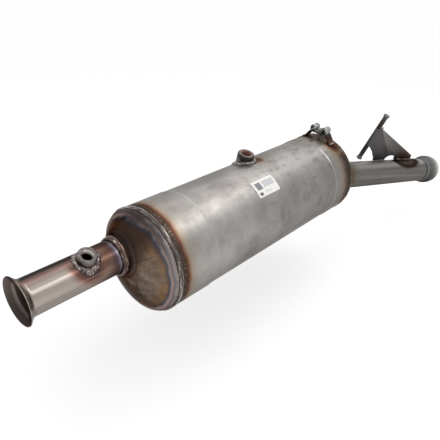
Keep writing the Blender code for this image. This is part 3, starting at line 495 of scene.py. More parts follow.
# The near-white top stop paints glints on the bead.
rim_metal = weld_metal("rim_weld_metal", [(0.20, "3E3836"), (0.42, "5A5350"), (0.56, "79716E"),
                                          (0.70, "A09A96"), (0.88, "E2DEDA")], ring=(CAN_Z, 0.0814))
rim_place = Matrix.Translation((CAN_FRONT - 0.0016, 0, CAN_Z)) @ across_x
front_rim = weld_ring("front_rim_bead", 0.0814, 0.0019, 0.0040, 0.0030, rim_place, ripple=0.00010, lump=0.00042)
dress(front_rim, rim_metal, ["front_rim_weld"], angle=60)


# The inlet pipe. Drawn stainless tube, 50.8 mm across, its end spun out into a thin bell mouth that
# a clamp pulls against the pipe before it. It is bright, with weld tint round the boss and the neck.
INLET_RADIUS = 0.0254
INLET_END = 0.1520
BELL_RADIUS = 0.0336
BELL_LENGTH = 0.0125
INLET_BOSS_X = 0.0920
inlet_boss_place = Matrix.Translation((INLET_BOSS_X, 0, 0)) @ Matrix.Rotation(math.radians(30.0), 4, "X")


def bell_hoops(wall):
    """The tube's outline from the mouth to the far end."""
    hoops = []
    for i in range(15):
        share = i / 14
        rise = (BELL_RADIUS - INLET_RADIUS) * (1 - math.sin(share * math.pi / 2))
        hoops.append((0.0010 + share * (BELL_LENGTH - 0.0010), INLET_RADIUS + rise - wall))
    return hoops + [(0.05, INLET_RADIUS - wall), (0.10, INLET_RADIUS - wall), (INLET_END, INLET_RADIUS - wall)]


def drawn_tube_steel():
    """Drawn tube, finely lined along its length: painted dark reflection on top, straw to violet by the welds."""
    finish, tree, shader, where = metal("drawn_stainless_tube")
    along = add(tree, "Mapping", {"Vector": where, "Scale": (5.0, 260.0, 260.0)})
    streak = add(tree, "TexNoise", {"Vector": along.outputs[0], "Scale": 1.0, "Detail": 4.0})
    drift = add(tree, "TexNoise", {"Vector": where, "Scale": 62.0, "Detail": 4.0}).outputs[0]
    colour = add(tree, "ValToRGB", {0: streak.outputs[0]},
                 stops=[(0.30, "877E78"), (0.50, "9A918B"), (0.72, "ABA29C")]).outputs[0]
    axis = add(tree, "SeparateXYZ", {0: where})
    turn = add(tree, "Math", {0: axis.outputs[1], 1: axis.outputs[2]}, operation="ARCTAN2").outputs[0]
    aside = add(tree, "Math", {0: turn, 1: -0.35}, operation="ADD")
    aside = add(tree, "Math", {0: aside.outputs[0]}, operation="ABSOLUTE")
    colour = tint(tree, colour, wandering(tree, away_from(tree, where, (0.094, -0.0135, 0.0200)), drift, 0.008),
                  0.017, 0.041,
                  [(0.0, "352728"), (0.16, "463034"), (0.30, "5A3A30"), (0.46, "785040"), (0.64, "8E7262"),
                   (0.85, "9C8C7E")],
                  [(0.0, 1.0), (0.42, 0.88), (0.60, 0.45), (0.9, 0.0)])
    # Painted dark reflection along the top of the tube, grading through pinkish brown into the bare tube.
    colour = tint(tree, colour, wandering(tree, aside.outputs[0], streak.outputs[0], 0.35), 0.0, 1.2,
                  [(0.0, "262120"), (0.16, "2E2827"), (0.30, "4A403D"), (0.44, "6E5C57"), (0.57, "9A8078"),
                   (0.85, "A89088")],
                  [(0.0, 1.0), (0.42, 0.92), (0.58, 0.60), (0.9, 0.0)])
    # Thin lines along the tube; the two reddish ones near the top are partly heat tint and partly painted reflection.
    for place, half, code, strength in ((-0.24, 0.030, "7E4C42", 0.75), (-0.36, 0.018, "8C6258", 0.45),
                                        (-1.72, 0.022, "75706C", 0.55), (-1.50, 0.016, "B4ACA6", 0.35)):
        line = add(tree, "Math", {0: turn, 1: -place}, operation="ADD")
        line = add(tree, "Math", {0: line.outputs[0]}, operation="ABSOLUTE")
        line = add(tree, "MapRange", {"Value": line.outputs[0], "From Min": 0.4 * half, "From Max": 1.6 * half,
                                      "To Min": strength, "To Max": 0.0})
        colour = stained(tree, colour, line.outputs[0], hexed(code))
    colour = tint(tree, colour, wandering(tree, axis.outputs[0], drift, 0.008), 0.143, 0.098,
                  [(0.0, "463C3A"), (0.08, "5A5052"), (0.17, "76707A"), (0.25, "463844"), (0.34, "46302B"),
                   (0.50, "573D33"), (0.72, "745A4B")],
                  [(0.0, 1.0), (0.36, 0.92), (0.60, 0.70), (1.0, 0.0)])
    # Darker over the top near the cap, and painted shade under the tube near the cap.
    darker_top_and_under_shade = add(tree, "MapRange", {"Value": aside.outputs[0], "From Min": 0.3, "From Max": 1.0,
                                   "To Min": 0.60, "To Max": 0.0})
    under = add(tree, "MapRange", {"Value": aside.outputs[0], "From Min": 1.9, "From Max": 2.5,
                                   "To Min": 0.0, "To Max": 0.70})
    darker_top_and_under_shade = add(tree, "Math", {0: darker_top_and_under_shade.outputs[0], 1: under.outputs[0]}, operation="MAXIMUM")
    near_cap = add(tree, "MapRange", {"Value": axis.outputs[0], "From Min": 0.085, "From Max": 0.115})
    darker_top_and_under_shade = add(tree, "Math", {0: darker_top_and_under_shade.outputs[0], 1: near_cap.outputs[0]}, operation="MULTIPLY")
    colour = stained(tree, colour, darker_top_and_under_shade.outputs[0], hexed("3C302C"))
    off_axis = add(tree, "VectorMath", {0: where, 1: (0.0, 1.0, 1.0)}, operation="MULTIPLY")
    off_axis = add(tree, "VectorMath", {0: off_axis.outputs[0]}, operation="LENGTH").outputs["Value"]
    flare = add(tree, "MapRange", {"Value": axis.outputs[0], "From Min": 0.001, "From Max": BELL_LENGTH,
                                   "To Max": math.pi / 2})
    flare = add(tree, "Math", {0: flare.outputs[0]}, operation="SINE")
    middle = add(tree, "Math", {0: flare.outputs[0], 1: INLET_RADIUS - BELL_RADIUS, 2: BELL_RADIUS - SHEET / 2},
                 operation="MULTIPLY_ADD")
    inside = add(tree, "Math", {0: off_axis, 1: middle.outputs[0]}, operation="LESS_THAN")
    # Inside the mouth: soot, with a painted highlight at the flare's inner bend and painted shade growing towards the
    # bottom.
    soot_and_painted_light = add(tree, "MapRange", {"Value": axis.outputs[0], "From Min": 0.0, "From Max": 0.030})
    soot_and_painted_light = add(tree, "ValToRGB", {0: soot_and_painted_light.outputs[0]},
               stops=[(0.0, "6A5F5B"), (0.20, "584E4A"), (0.34, "948B86"), (0.46, "6E5F58"), (0.60, "483A34"),
                      (1.0, "332822")])
    down = add(tree, "MapRange", {"Value": axis.outputs[2], "From Min": 0.020, "From Max": -0.024,
                                  "To Max": 0.72})
    soot_and_painted_light = stained(tree, soot_and_painted_light.outputs[0], down.outputs[0], hexed("1E1918"))
    colour = stained(tree, colour, inside.outputs[0], soot_and_painted_light)
    tree.links.new(colour, shader.inputs["Base Color"])
    deep = add(tree, "MapRange", {"Value": axis.outputs[0], "From Min": 0.008, "From Max": 0.016})
    sooty = add(tree, "Math", {0: deep.outputs[0], 1: inside.outputs[0]}, operation="MULTIPLY")
    bare = add(tree, "Math", {0: 1.0, 1: sooty.outputs[0]}, operation="SUBTRACT")
    tree.links.new(bare.outputs[0], shader.inputs["Metallic"])
    shader.inputs["Roughness"].default_value = 0.27
    shader.inputs["Specular Tint"].default_value = (0.50, 0.49, 0.48, 1.0)
    fine = add(tree, "Bump", {"Height": streak.outputs[0], "Strength": 0.18, "Distance": 0.0002})
    tree.links.new(fine.outputs[0], shader.inputs["Normal"])
    return finish


outer = [(0.0002, BELL_RADIUS - 0.0001), (0.0006, BELL_RADIUS)] + bell_hoops(0)
inner = list(reversed(bell_hoops(SHEET))) + [(0.0004, BELL_RADIUS - SHEET + 0.0003), (0.0, BELL_RADIUS - 0.0005)]
inlet = hooped("inlet_tube", outer + inner, sides=128)
drill(inlet, PORT_RADIUS, 0.024, inlet_boss_place @ Matrix.Translation((0, 0, INLET_RADIUS)))
dress(inlet, drawn_tube_steel(), ["inlet_pipe"], angle=40)


# The neck weld. A hand-laid bead round the inlet pipe at the cap's neck: bronze ripples flecked
# with painted white glints, and dark violet edges where the heat went furthest.
neck_metal = weld_metal("neck_weld_metal", [(0.20, "3A2F31"), (0.42, "4A3B38"), (0.58, "5F4F4A"),
                                            (0.70, "83705F"), (0.82, "F2ECE4")], ring=(0.0, 0.0267))
neck_place = Matrix.Translation((0.1428, 0, 0)) @ across_x
neck = weld_ring("inlet_neck_bead", 0.0267, 0.0025, 0.0052, 0.0034, neck_place, ripple=0.00020, lump=0.00055)
dress(neck, neck_metal, ["inlet_pipe_weld"], angle=60)


# The inlet sensor boss. Turned from bar, threaded inside for a temperature sensor, chamfered at the
# top, and welded on with a thick uneven bead. The pipe has a hole under it.
BORE_RADIUS = 0.0073
THREAD_PITCH = 0.0015


def boss(name, reach, height, place, seat, chamfer=0.0014):
    """Turned boss whose foot follows the round surface that carries it."""
    deepest = max(seat(0, reach), seat(math.pi / 2, reach), seat(-math.pi / 2, reach)) + 0.0004
    hoops = [(deepest - 0.010, reach), (deepest, reach), (height - chamfer - 0.0004, reach),
             (height - chamfer, reach - 0.0001), (height - 0.0002, reach - chamfer), (height, reach - chamfer - 0.0002),
             (height, BORE_RADIUS + 0.0019), (height - 0.0001, BORE_RADIUS + 0.0017),
             (height - 0.0015, BORE_RADIUS + 0.0003)]
    level = height - 0.0020
    while level - THREAD_PITCH > deepest + 0.0006:
        hoops += [(level, BORE_RADIUS), (level - 0.5 * THREAD_PITCH, BORE_RADIUS + 0.0007)]
        level -= THREAD_PITCH
    hoops += [(deepest, BORE_RADIUS), (deepest - 0.010, BORE_RADIUS)]
    upright = place @ Matrix.Rotation(-math.pi / 2, 4, "Y")
    piece = hooped(name, hoops, upright, sides=72)
    into = place.inverted()
    for vertex in piece.data.vertices:
        spot = into @ vertex.co
        if spot.z < deepest - 0.005:
            spot.z = seat(math.atan2(spot.y, spot.x), math.hypot(spot.x, spot.y)) + 0.0001
            vertex.co = place @ spot
    return piece


def turned_boss_steel(name, place, height, flank, top, rim, thread_tone_and_light, painted_bore_shade):
    """Turned steel heated by its weld: fine tool rings, each face with its own oxide colour, painted shade down the
    bore.
    """
    finish, tree, shader, where = metal(name)
    into = place.inverted()
    spot = add(tree, "Mapping", {"Vector": where, "Location": into.to_translation(), "Rotation": into.to_euler()})
    axis = add(tree, "SeparateXYZ", {0: spot.outputs[0]})
    flat = add(tree, "VectorMath", {0: spot.outputs[0], 1: (1.0, 1.0, 0.0)}, operation="MULTIPLY")
    reach = add(tree, "VectorMath", {0: flat.outputs[0]}, operation="LENGTH").outputs["Value"]
    cloud = add(tree, "TexNoise", {"Vector": where, "Scale": 190.0, "Detail": 5.0, "Roughness": 0.62})
    up = add(tree, "MapRange", {"Value": axis.outputs[2], "From Min": height - 0.012, "From Max": height})
    colour = add(tree, "ValToRGB", {0: up.outputs[0]}, stops=flank).outputs[0]
    topped = add(tree, "Math", {0: axis.outputs[2], 1: height - 0.0003}, operation="GREATER_THAN")
    colour = stained(tree, colour, topped.outputs[0], hexed(top))
    lip = add(tree, "MapRange", {"Value": reach, "From Min": BORE_RADIUS + 0.0028, "From Max": BORE_RADIUS + 0.0012})
    colour = stained(tree, colour, lip.outputs[0], hexed(rim))
    # Painted shade deeper in the bore; above it the threads take their own colour, on the inlet boss a painted light
    # grey for lit threads.
    below = add(tree, "MapRange", {"Value": axis.outputs[2], "From Min": height - 0.0040,
                                   "From Max": height - 0.0090})
    inside = add(tree, "Math", {0: reach, 1: BORE_RADIUS + 0.0010}, operation="LESS_THAN")
    deep = add(tree, "Math", {0: inside.outputs[0], 1: below.outputs[0]}, operation="MULTIPLY")
    colour = stained(tree, colour, inside.outputs[0], hexed(thread_tone_and_light))
    colour = stained(tree, colour, deep.outputs[0], hexed(painted_bore_shade))
    mottle = add(tree, "ValToRGB", {0: cloud.outputs[0]}, stops=[(0.32, 0.20), (0.68, 0.78)])
    colour = add(tree, "Mix", {0: 0.72, 6: colour, 7: mottle.outputs[0]}, data_type="RGBA",
                 blend_type="OVERLAY").outputs[2]
    tree.links.new(colour, shader.inputs["Base Color"])
    shader.inputs["Roughness"].default_value = 0.34
    rings = add(tree, "Math", {0: reach, 1: 0.0003}, operation="PINGPONG")
    cut = add(tree, "Bump", {"Height": rings.outputs[0], "Strength": 0.25, "Distance": 0.3})
    pits = add(tree, "Bump", {"Height": cloud.outputs[0], "Strength": 0.80, "Distance": 0.0013,
                              "Normal": cut.outputs[0]})
    tree.links.new(pits.outputs[0], shader.inputs["Normal"])
    return finish


def pipe_seat(turn, reach):
    """Height of the inlet pipe's surface over its axis, under the boss."""
    return math.sqrt(INLET_RADIUS ** 2 - (reach * math.sin(turn)) ** 2)


INLET_BOSS_REACH = 0.0133
INLET_BOSS_TOP = INLET_RADIUS + 0.0107
inlet_boss = boss("inlet_sensor_seat", INLET_BOSS_REACH, INLET_BOSS_TOP, inlet_boss_place, pipe_seat)
# Its thread colour BCB6B2 is painted light; the last colour is painted shade for the bore.
inlet_boss_steel = turned_boss_steel("inlet_boss_turned_steel", inlet_boss_place, INLET_BOSS_TOP,
                                     [(0.10, "3A2E2C"), (0.45, "584F4D"), (0.80, "757070")],
                                     "726B69", "746B68", "BCB6B2", "2C2624")
dress(inlet_boss, inlet_boss_steel, ["inlet_sensor_boss"], angle=40)
# The near-white top stop paints glints on the weld.
boss_metal = weld_metal("boss_weld_metal", [(0.10, "2E2627"), (0.34, "564A48"), (0.54, "807672"), (0.74, "AFA69E"),
                                            (0.90, "E6E0D8")], rough=0.24)
boss_bead = weld_ring("inlet_boss_bead", INLET_BOSS_REACH + 0.0019, 0.0036, 0.0030, 0.0030, inlet_boss_place,
                      ripple=0.00050, lump=0.00065, seat=pipe_seat)
dress(boss_bead, boss_metal, ["inlet_boss_weld"], angle=60)


# The body sensor boss. The same kind of turned boss, taller, standing on the can behind a drilled
# hole and leaning over to the side so that its sensor clears the car's floor.
body_lean = BODY_BOSS_SEAT - BODY_BOSS_LEAN


def can_seat(turn, reach):
    """Height of the can's surface over the body boss's base."""
    across = reach * math.sin(turn) + SIZED_RADIUS * math.sin(body_lean)
    return math.sqrt(SIZED_RADIUS ** 2 - across ** 2) - SIZED_RADIUS * math.cos(body_lean)


BODY_BOSS_REACH = 0.0150
BODY_BOSS_HEIGHT = 0.0180
body_boss = boss("body_sensor_seat", BODY_BOSS_REACH, BODY_BOSS_HEIGHT, body_boss_place, can_seat)
# The last colour is painted shade deep in the bore.
body_boss_steel = turned_boss_steel("body_boss_turned_steel", body_boss_place, BODY_BOSS_HEIGHT,
                                    [(0.0, "5A5654"), (0.40, "474341"), (0.85, "3E3836")],
                                    "6A605C", "6E524A", "6C483E", "32201C")
dress(body_boss, body_boss_steel, ["body_sensor_boss"], angle=40)
# The near-white top stop paints glints on the weld.
fillet_metal = weld_metal("grey_fillet_weld_metal", [(0.15, "464442"), (0.40, "63615D"), (0.60, "7F7E79"),
                                                     (0.78, "A3A29D"), (0.92, "DAD8D3")], rough=0.30, fine=200.0)
body_bead = weld_ring("body_boss_bead", BODY_BOSS_REACH + 0.0016, 0.0044, 0.0046, 0.0034, body_boss_place,
                      ripple=0.00022, lump=0.00075, seat=can_seat)
dress(body_bead, fillet_metal, ["body_boss_weld"], angle=60)


# The label. Coated paper, 55 by 30 mm, stuck round the can's flank. Only plain grey fields stand
# where the printing was.
LABEL_LENGTH = 0.0550
LABEL_WIDTH = 0.0302
LABEL_MIDDLE = math.radians(-41.9)
LABEL_START = CAN_FRONT + 0.1945
LABEL_CORNER = 0.0026


def coated_paper():
    """Coated label paper: smooth white with faint dust, and grey printed fields."""
    finish, tree, shader, where = metal("coated_label_paper")
    shader.inputs["Metallic"].default_value = 0.0
    shader.inputs["Roughness"].default_value = 0.45
    centred = add(tree, "VectorMath", {0: where, 1: (-LABEL_START, 0.0, -CAN_Z)}, operation="ADD")
    axis = add(tree, "SeparateXYZ", {0: centred.outputs[0]})
    turn = add(tree, "Math", {0: axis.outputs[1], 1: axis.outputs[2]}, operation="ARCTAN2").outputs[0]
    half = LABEL_WIDTH / 2 / SIZED_RADIUS
    down = add(tree, "MapRange", {"Value": turn, "From Min": LABEL_MIDDLE + half, "From Max": LABEL_MIDDLE - half})
    down = down.outputs[0]
    over = add(tree, "MapRange", {"Value": axis.outputs[0], "From Min": 0.0, "From Max": LABEL_LENGTH}).outputs[0]
    dust = add(tree, "TexNoise", {"Vector": where, "Scale": 160.0, "Detail": 4.0})
    colour = add(tree, "ValToRGB", {0: dust.outputs[0]}, stops=[(0.3, "DEDBD6"), (0.7, "EEECE8")]).outputs[0]
    fields = [(0.22, 0.36, 0.12, 0.22, "77757A"), (0.16, 0.82, 0.07, 0.09, "5E5C60")]
    fields += [(0.67, 0.34, 0.25, 0.20, "BFBEC0"), (0.52, 0.78, 0.16, 0.05, "CFCECF")]
    for over_middle, down_middle, over_half, down_half, code in fields:
        wide = add(tree, "Math", {0: over, 1: over_middle, 2: over_half}, operation="COMPARE")
        tall = add(tree, "Math", {0: down, 1: down_middle, 2: down_half}, operation="COMPARE")
        field = add(tree, "Math", {0: wide.outputs[0], 1: tall.outputs[0]}, operation="MULTIPLY")
        colour = stained(tree, colour, field.outputs[0], hexed(code))
    tree.links.new(colour, shader.inputs["Base Color"])
    return finish


deselect()
bpy.ops.mesh.primitive_grid_add(x_subdivisions=64, y_subdivisions=36, size=1)
label = bpy.context.object
label.name = label.data.name = "paper_label"
for vertex in label.data.vertices:
    over = vertex.co.x * LABEL_LENGTH
    down = vertex.co.y * LABEL_WIDTH
    past_over = abs(over) - (LABEL_LENGTH / 2 - LABEL_CORNER)
    past_down = abs(down) - (LABEL_WIDTH / 2 - LABEL_CORNER)
    if past_over > 0 and past_down > 0:
        pull = max(past_over, past_down) / math.hypot(past_over, past_down)
        over = math.copysign(LABEL_LENGTH / 2 - LABEL_CORNER + past_over * pull, over)
        down = math.copysign(LABEL_WIDTH / 2 - LABEL_CORNER + past_down * pull, down)
    turn = LABEL_MIDDLE + down / SIZED_RADIUS
    lift = SIZED_RADIUS + 0.00030 + 0.00012 * max(0, noise.noise(Vector((over, down, 0)) * 130))
    vertex.co = (LABEL_START + LABEL_LENGTH / 2 + over, lift * math.sin(turn), CAN_Z + lift * math.cos(turn))
paper = label.modifiers.new("paper", "SOLIDIFY")
paper.thickness = 0.00025
paper.offset = 1
settle_modifiers(label)
deselect()
label.select_set(True)
bpy.context.view_layer.objects.active = label
bpy.ops.object.mode_set(mode="EDIT")
bpy.ops.mesh.select_all(action="SELECT")
bpy.ops.mesh.normals_make_consistent(inside=False)
bpy.ops.object.mode_set(mode="OBJECT")
dress(label, coated_paper(), ["label"], angle=40)


# The outlet cap. The front cap's mirror image at the rim, but its cone turns down and aside to meet
# the outlet pipe. It is welded to the can and to the pipe in the same way.
outlet_place = (Matrix.Translation((0.6990, -0.0263, -0.0402)) @ Matrix.Rotation(math.radians(-11.0), 4, "Z")
                @ Matrix.Rotation(math.radians(10.8), 4, "Y"))
OUTLET_RADIUS = 0.0286
PIPE_LAP = 0.0060


def rear_cap_hoops(wall):
    """Flange, shoulder and turned cone of the rear cap, from inside the can to the neck."""
    hoops = [(CAN_REAR - 0.014, FLANGE_RADIUS - wall), (CAN_REAR - 0.002, FLANGE_RADIUS - wall)]
    for i in range(9):
        turn = math.pi / 2 * i / 8
        hoops.append((CAN_REAR + 0.0060 + (0.0075 - wall) * math.sin(turn),
                      SHOULDER_RADIUS + (FLANGE_RADIUS - SHOULDER_RADIUS - wall) * math.cos(turn)))
    start = Vector((hoops[-1][0], 0, 0))
    lip = can_axis.inverted() @ outlet_place
    end = lip @ Matrix.Translation((PIPE_LAP - 0.0030 - wall, 0, 0))
    end_radius = OUTLET_RADIUS + 0.0003 + SHEET + 0.0003 - wall
    straight = Matrix().to_quaternion()
    for i in range(1, 15):
        share = i / 14
        swell = 0.0010 * math.sin(math.pi * share)
        middle = start.lerp(end.to_translation(), share) + Vector((swell, 0, 0))
        lean = straight.slerp(end.to_quaternion(), share).to_matrix().to_4x4()
        hoops.append((Matrix.Translation(middle) @ lean,
                      SHOULDER_RADIUS + (end_radius - SHOULDER_RADIUS) * share + swell))
    hoops.append((lip @ Matrix.Translation((PIPE_LAP, 0, 0)), OUTLET_RADIUS + 0.0003 + SHEET - wall))
    return hoops


rear_cap = hooped("outlet_cap", rear_cap_hoops(0) + list(reversed(rear_cap_hoops(SHEET))), can_axis, sides=160)
dress(rear_cap, cap_steel, ["outlet_end_cone"], angle=50)
rear_place = Matrix.Translation((CAN_REAR + 0.0018, 0, CAN_Z)) @ across_x
rear_rim = weld_ring("rear_rim_bead", 0.0814, 0.0019, 0.0040, 0.0030, rear_place, ripple=0.00010, lump=0.00042)
sooted_metal = weld_metal("rear_rim_weld_metal", [(0.15, "2E2522"), (0.40, "3B342C"), (0.62, "4A3F38"),
                                                  (0.88, "6A5F56")], rough=0.36, ring=(CAN_Z, 0.0814))
dress(rear_rim, sooted_metal, ["rear_rim_weld"], angle=60)
outlet_neck = weld_ring("outlet_neck_bead", 0.0299, 0.0027, 0.0034, 0.0030,
                        outlet_place @ Matrix.Translation((0.0079, 0, 0)) @ across_x, ripple=0.00036, lump=0.00045)
dress(outlet_neck, sooted_metal, ["outlet_pipe_weld"], angle=60)


# The outlet pipe. Stainless tube 57.2 mm across, cut from a greyer stock than the inlet's. Its end
# is swaged into a ball that seals in the next pipe's socket, and the hanger's foot has burnt it.
OUTLET_LENGTH = 0.3770
BULGE_LENGTH = 0.0520
BULGE_RADIUS = 0.0345
BULGE_MOUTH = 0.0300


def ball_hoops(wall):
    """The outlet tube's outline, from the cap to the mouth."""
    start = OUTLET_LENGTH - BULGE_LENGTH
    crest = 0.62 * BULGE_LENGTH
    hoops = [(0.0, OUTLET_RADIUS - wall), (0.10, OUTLET_RADIUS - wall), (0.20, OUTLET_RADIUS - wall)]
    for i in range(13):
        share = i / 12
        swell = (BULGE_RADIUS - OUTLET_RADIUS) * (1 - math.cos(share * math.pi)) / 2
        hoops.append((start + share * crest, OUTLET_RADIUS + swell - wall))
    for i in range(1, 11):
        turn = math.pi / 2 * i / 10
        hoops.append((start + crest + (BULGE_LENGTH - crest) * math.sin(turn),
                      BULGE_MOUTH + (BULGE_RADIUS - BULGE_MOUTH) * math.cos(turn) - wall))
    return hoops


def weathered_tube_steel():
    """Matt drawn tube: long grey streaks, brown by the cap, scorched at the hanger's foot; painted highlight and shade.
    """
    finish, tree, shader, where = metal("weathered_stainless_tube")
    into = outlet_place.inverted()
    spot = add(tree, "Mapping", {"Vector": where, "Location": into.to_translation(), "Rotation": into.to_euler()})
    spot = spot.outputs[0]
    along = add(tree, "Mapping", {"Vector": spot, "Scale": (5.0, 150.0, 150.0)})
    streak = add(tree, "TexNoise", {"Vector": along.outputs[0], "Scale": 1.0, "Detail": 5.0})
    drift = add(tree, "TexNoise", {"Vector": where, "Scale": 60.0, "Detail": 4.0}).outputs[0]
    colour = add(tree, "ValToRGB", {0: streak.outputs[0]},
                 stops=[(0.30, "656260"), (0.50, "72706D"), (0.70, "817E7B")]).outputs[0]
    axis = add(tree, "SeparateXYZ", {0: spot})
    turn = add(tree, "Math", {0: axis.outputs[1], 1: axis.outputs[2]}, operation="ARCTAN2").outputs[0]
    # Painted highlight along the tube's crown.
    painted_crown_highlight = add(tree, "Math", {0: turn, 1: 0.36}, operation="ADD")
    painted_crown_highlight = add(tree, "Math", {0: painted_crown_highlight.outputs[0]}, operation="ABSOLUTE")
    painted_crown_highlight = add(tree, "MapRange", {"Value": painted_crown_highlight.outputs[0], "From Min": 0.15, "From Max": 0.55,
                                   "To Min": 0.85, "To Max": 0.0})
    colour = stained(tree, colour, painted_crown_highlight.outputs[0], hexed("B4B2AE"))
    colour = tint(tree, colour, wandering(tree, axis.outputs[0], drift, 0.014), 0.010, 0.060,
                  [(0.0, "3A302B"), (0.30, "5E4E3C"), (0.60, "6E675A"), (0.9, "74716A")],
                  [(0.0, 1.0), (0.5, 0.75), (1.0, 0.0)])
    burn = add(tree, "VectorMath", {0: spot, 1: (0.250, -0.006, 0.027)}, operation="SUBTRACT")
    burn = add(tree, "VectorMath", {0: burn.outputs[0], 1: (0.46, 1.0, 1.0)}, operation="MULTIPLY")
    burn = add(tree, "VectorMath", {0: burn.outputs[0]}, operation="LENGTH").outputs["Value"]
    colour = tint(tree, colour, wandering(tree, burn, drift, 0.006), 0.004, 0.027,
                  [(0.0, "524843"), (0.40, "4E413A"), (0.58, "362B25"), (0.70, "281F1A"), (0.84, "4A4038")],
                  [(0.0, 0.95), (0.78, 0.95), (1.0, 0.0)])
    # Along the ball: a dark line of painted shade and a light line of painted highlight where the swage begins, then
    # lighter grey towards the mouth.
    colour = tint(tree, colour, axis.outputs[0], 0.318, 0.377,
                  [(0.0, "5E5C5A"), (0.19, "424140"), (0.24, "8E8C8A"), (0.31, "5E5E5E"), (0.50, "6A6A6C"),
                   (0.64, "8E8C88"), (0.76, "C2C0BC"), (0.88, "DAD8D4"), (0.95, "7E7C7A"), (1.0, "3A3836")],
                  [(0.0, 0.0), (0.15, 0.85), (1.0, 1.0)])
    # Painted shade: the underside of the ball darkens.
    painted_low_shade = add(tree, "MapRange", {"Value": axis.outputs[2], "From Min": 0.012, "From Max": -0.016,
                                 "To Max": 0.65})
    on_ball = add(tree, "MapRange", {"Value": axis.outputs[0], "From Min": 0.328, "From Max": 0.338})
    painted_low_shade = add(tree, "Math", {0: painted_low_shade.outputs[0], 1: on_ball.outputs[0]}, operation="MULTIPLY")
    colour = stained(tree, colour, painted_low_shade.outputs[0], hexed("3E3B38"))
    flat = add(tree, "VectorMath", {0: spot, 1: (0.0, 1.0, 1.0)}, operation="MULTIPLY")
    reach = add(tree, "VectorMath", {0: flat.outputs[0]}, operation="LENGTH").outputs["Value"]
    inside = add(tree, "Math", {0: reach, 1: OUTLET_RADIUS - 0.0006}, operation="LESS_THAN")
    colour = stained(tree, colour, inside.outputs[0], hexed("332E2B"))
    tree.links.new(colour, shader.inputs["Base Color"])
    shader.inputs["Roughness"].default_value = 0.50
    shader.inputs["Specular Tint"].default_value = (0.34, 0.33, 0.32, 1.0)
    fine = add(tree, "Bump", {"Height": streak.outputs[0], "Strength": 0.18, "Distance": 0.0002})
    tree.links.new(fine.outputs[0], shader.inputs["Normal"])
    return finish


outlet = hooped("outlet_tube", ball_hoops(0) + list(reversed(ball_hoops(SHEET))), outlet_place, sides=128)
dress(outlet, weathered_tube_steel(), ["outlet_pipe"], angle=40)


# The holder. A strip of 2.5 mm steel bent into a hat, scorched where its feet are welded to the can.
# It carries a twin clamp for two thin pressure pipes, held by one zinc-plated bolt and nut.
HOLDER_WIDTH = 0.0190
HOLDER_RISE = 0.0125
HOLDER_SHEET = 0.0025
CLAMP_SHEET = 0.0012
holder_place = (can_axis @ Matrix.Translation((CAN_REAR - 0.0220 + HOLDER_WIDTH / 2, 0, 0))
                @ Matrix.Rotation(math.radians(7.0), 4, "X") @ Matrix.Translation((0, 0, CAN_RADIUS)))


def eased(path, radius, steps=6):
    """Round the inner corners of an open (y, z) path."""
    points = [Vector(path[0])]
    for before, here, after in zip(path, path[1:], path[2:]):
        here = Vector(here)
        back = (Vector(before) - here).normalized()
        ahead = (Vector(after) - here).normalized()
        reach = radius / math.tan(back.angle(ahead) / 2)
        for i in range(steps + 1):
            share = i / steps
            points.append((here + back * reach * (1 - share)).lerp(here + ahead * reach * share, share))
    return points + [Vector(path[-1])]


def strip(name, path, width, thickness, place, edge=0.0004):
    """A bent strip: an edge extruded along a (y, z) path, thickened, its edges rounded."""
    deselect()
    bpy.ops.mesh.primitive_plane_add(size=width)
    piece = bpy.context.object
    piece.name = piece.data.name = name
    ends = (Vector((0, *path[0])), Vector((0, *path[1])))
    for vertex in piece.data.vertices:
        vertex.co = ends[vertex.co.y > 0] + Vector((vertex.co.x, 0, 0))
    bpy.ops.object.mode_set(mode="EDIT")
    bpy.ops.mesh.select_mode(type="EDGE")
    bpy.ops.mesh.select_all(action="DESELECT")
    sheet = bmesh.from_edit_mesh(piece.data)
    for side in sheet.edges:
        if all((vertex.co - ends[1]).yz.length < 1e-6 for vertex in side.verts):
            side.select_set(True)
    sheet.select_flush_mode()
    bmesh.update_edit_mesh(piece.data)
    for here, after in zip(path[1:], path[2:]):
        step = Vector((0, *(after - here)))
        bpy.ops.mesh.extrude_region_move(TRANSFORM_OT_translate={"value": step})
    bpy.ops.mesh.select_all(action="SELECT")
    bpy.ops.mesh.normals_make_consistent(inside=False)
    bpy.ops.object.mode_set(mode="OBJECT")
    thick = piece.modifiers.new("sheet", "SOLIDIFY")
    thick.thickness = thickness
    thick.offset = 0
    thick.use_even_offset = True
    softer = piece.modifiers.new("edges", "BEVEL")
    softer.width = edge
    softer.segments = 2
    softer.limit_method = "ANGLE"
    softer.angle_limit = math.radians(50)
    settle_modifiers(piece)
    piece.matrix_world = place
    return piece


def oxidised_strip_steel():
    """Bent strip steel, blued and rusted by its welds: near black, brown towards the feet."""
    finish, tree, shader, where = metal("oxidised_strip_steel")
    into = holder_place.inverted()
    spot = add(tree, "Mapping", {"Vector": where, "Location": into.to_translation(), "Rotation": into.to_euler()})
    axis = add(tree, "SeparateXYZ", {0: spot.outputs[0]})
    scale = add(tree, "TexNoise", {"Vector": where, "Scale": 210.0, "Detail": 5.0, "Roughness": 0.65})
    height = wandering(tree, axis.outputs[2], scale.outputs[0], 0.008)
    up = add(tree, "MapRange", {"Value": height, "From Min": -0.006, "From Max": 0.014})
    colour = add(tree, "ValToRGB", {0: up.outputs[0]},
                 stops=[(0.0, "6A4A36"), (0.35, "4A3024"), (0.65, "2C2422"), (1.0, "3E3A38")])
    tree.links.new(colour.outputs[0], shader.inputs["Base Color"])
    shader.inputs["Roughness"].default_value = 0.45
    pits = add(tree, "Bump", {"Height": scale.outputs[0], "Strength": 0.35, "Distance": 0.0005})
    tree.links.new(pits.outputs[0], shader.inputs["Normal"])
    return finish


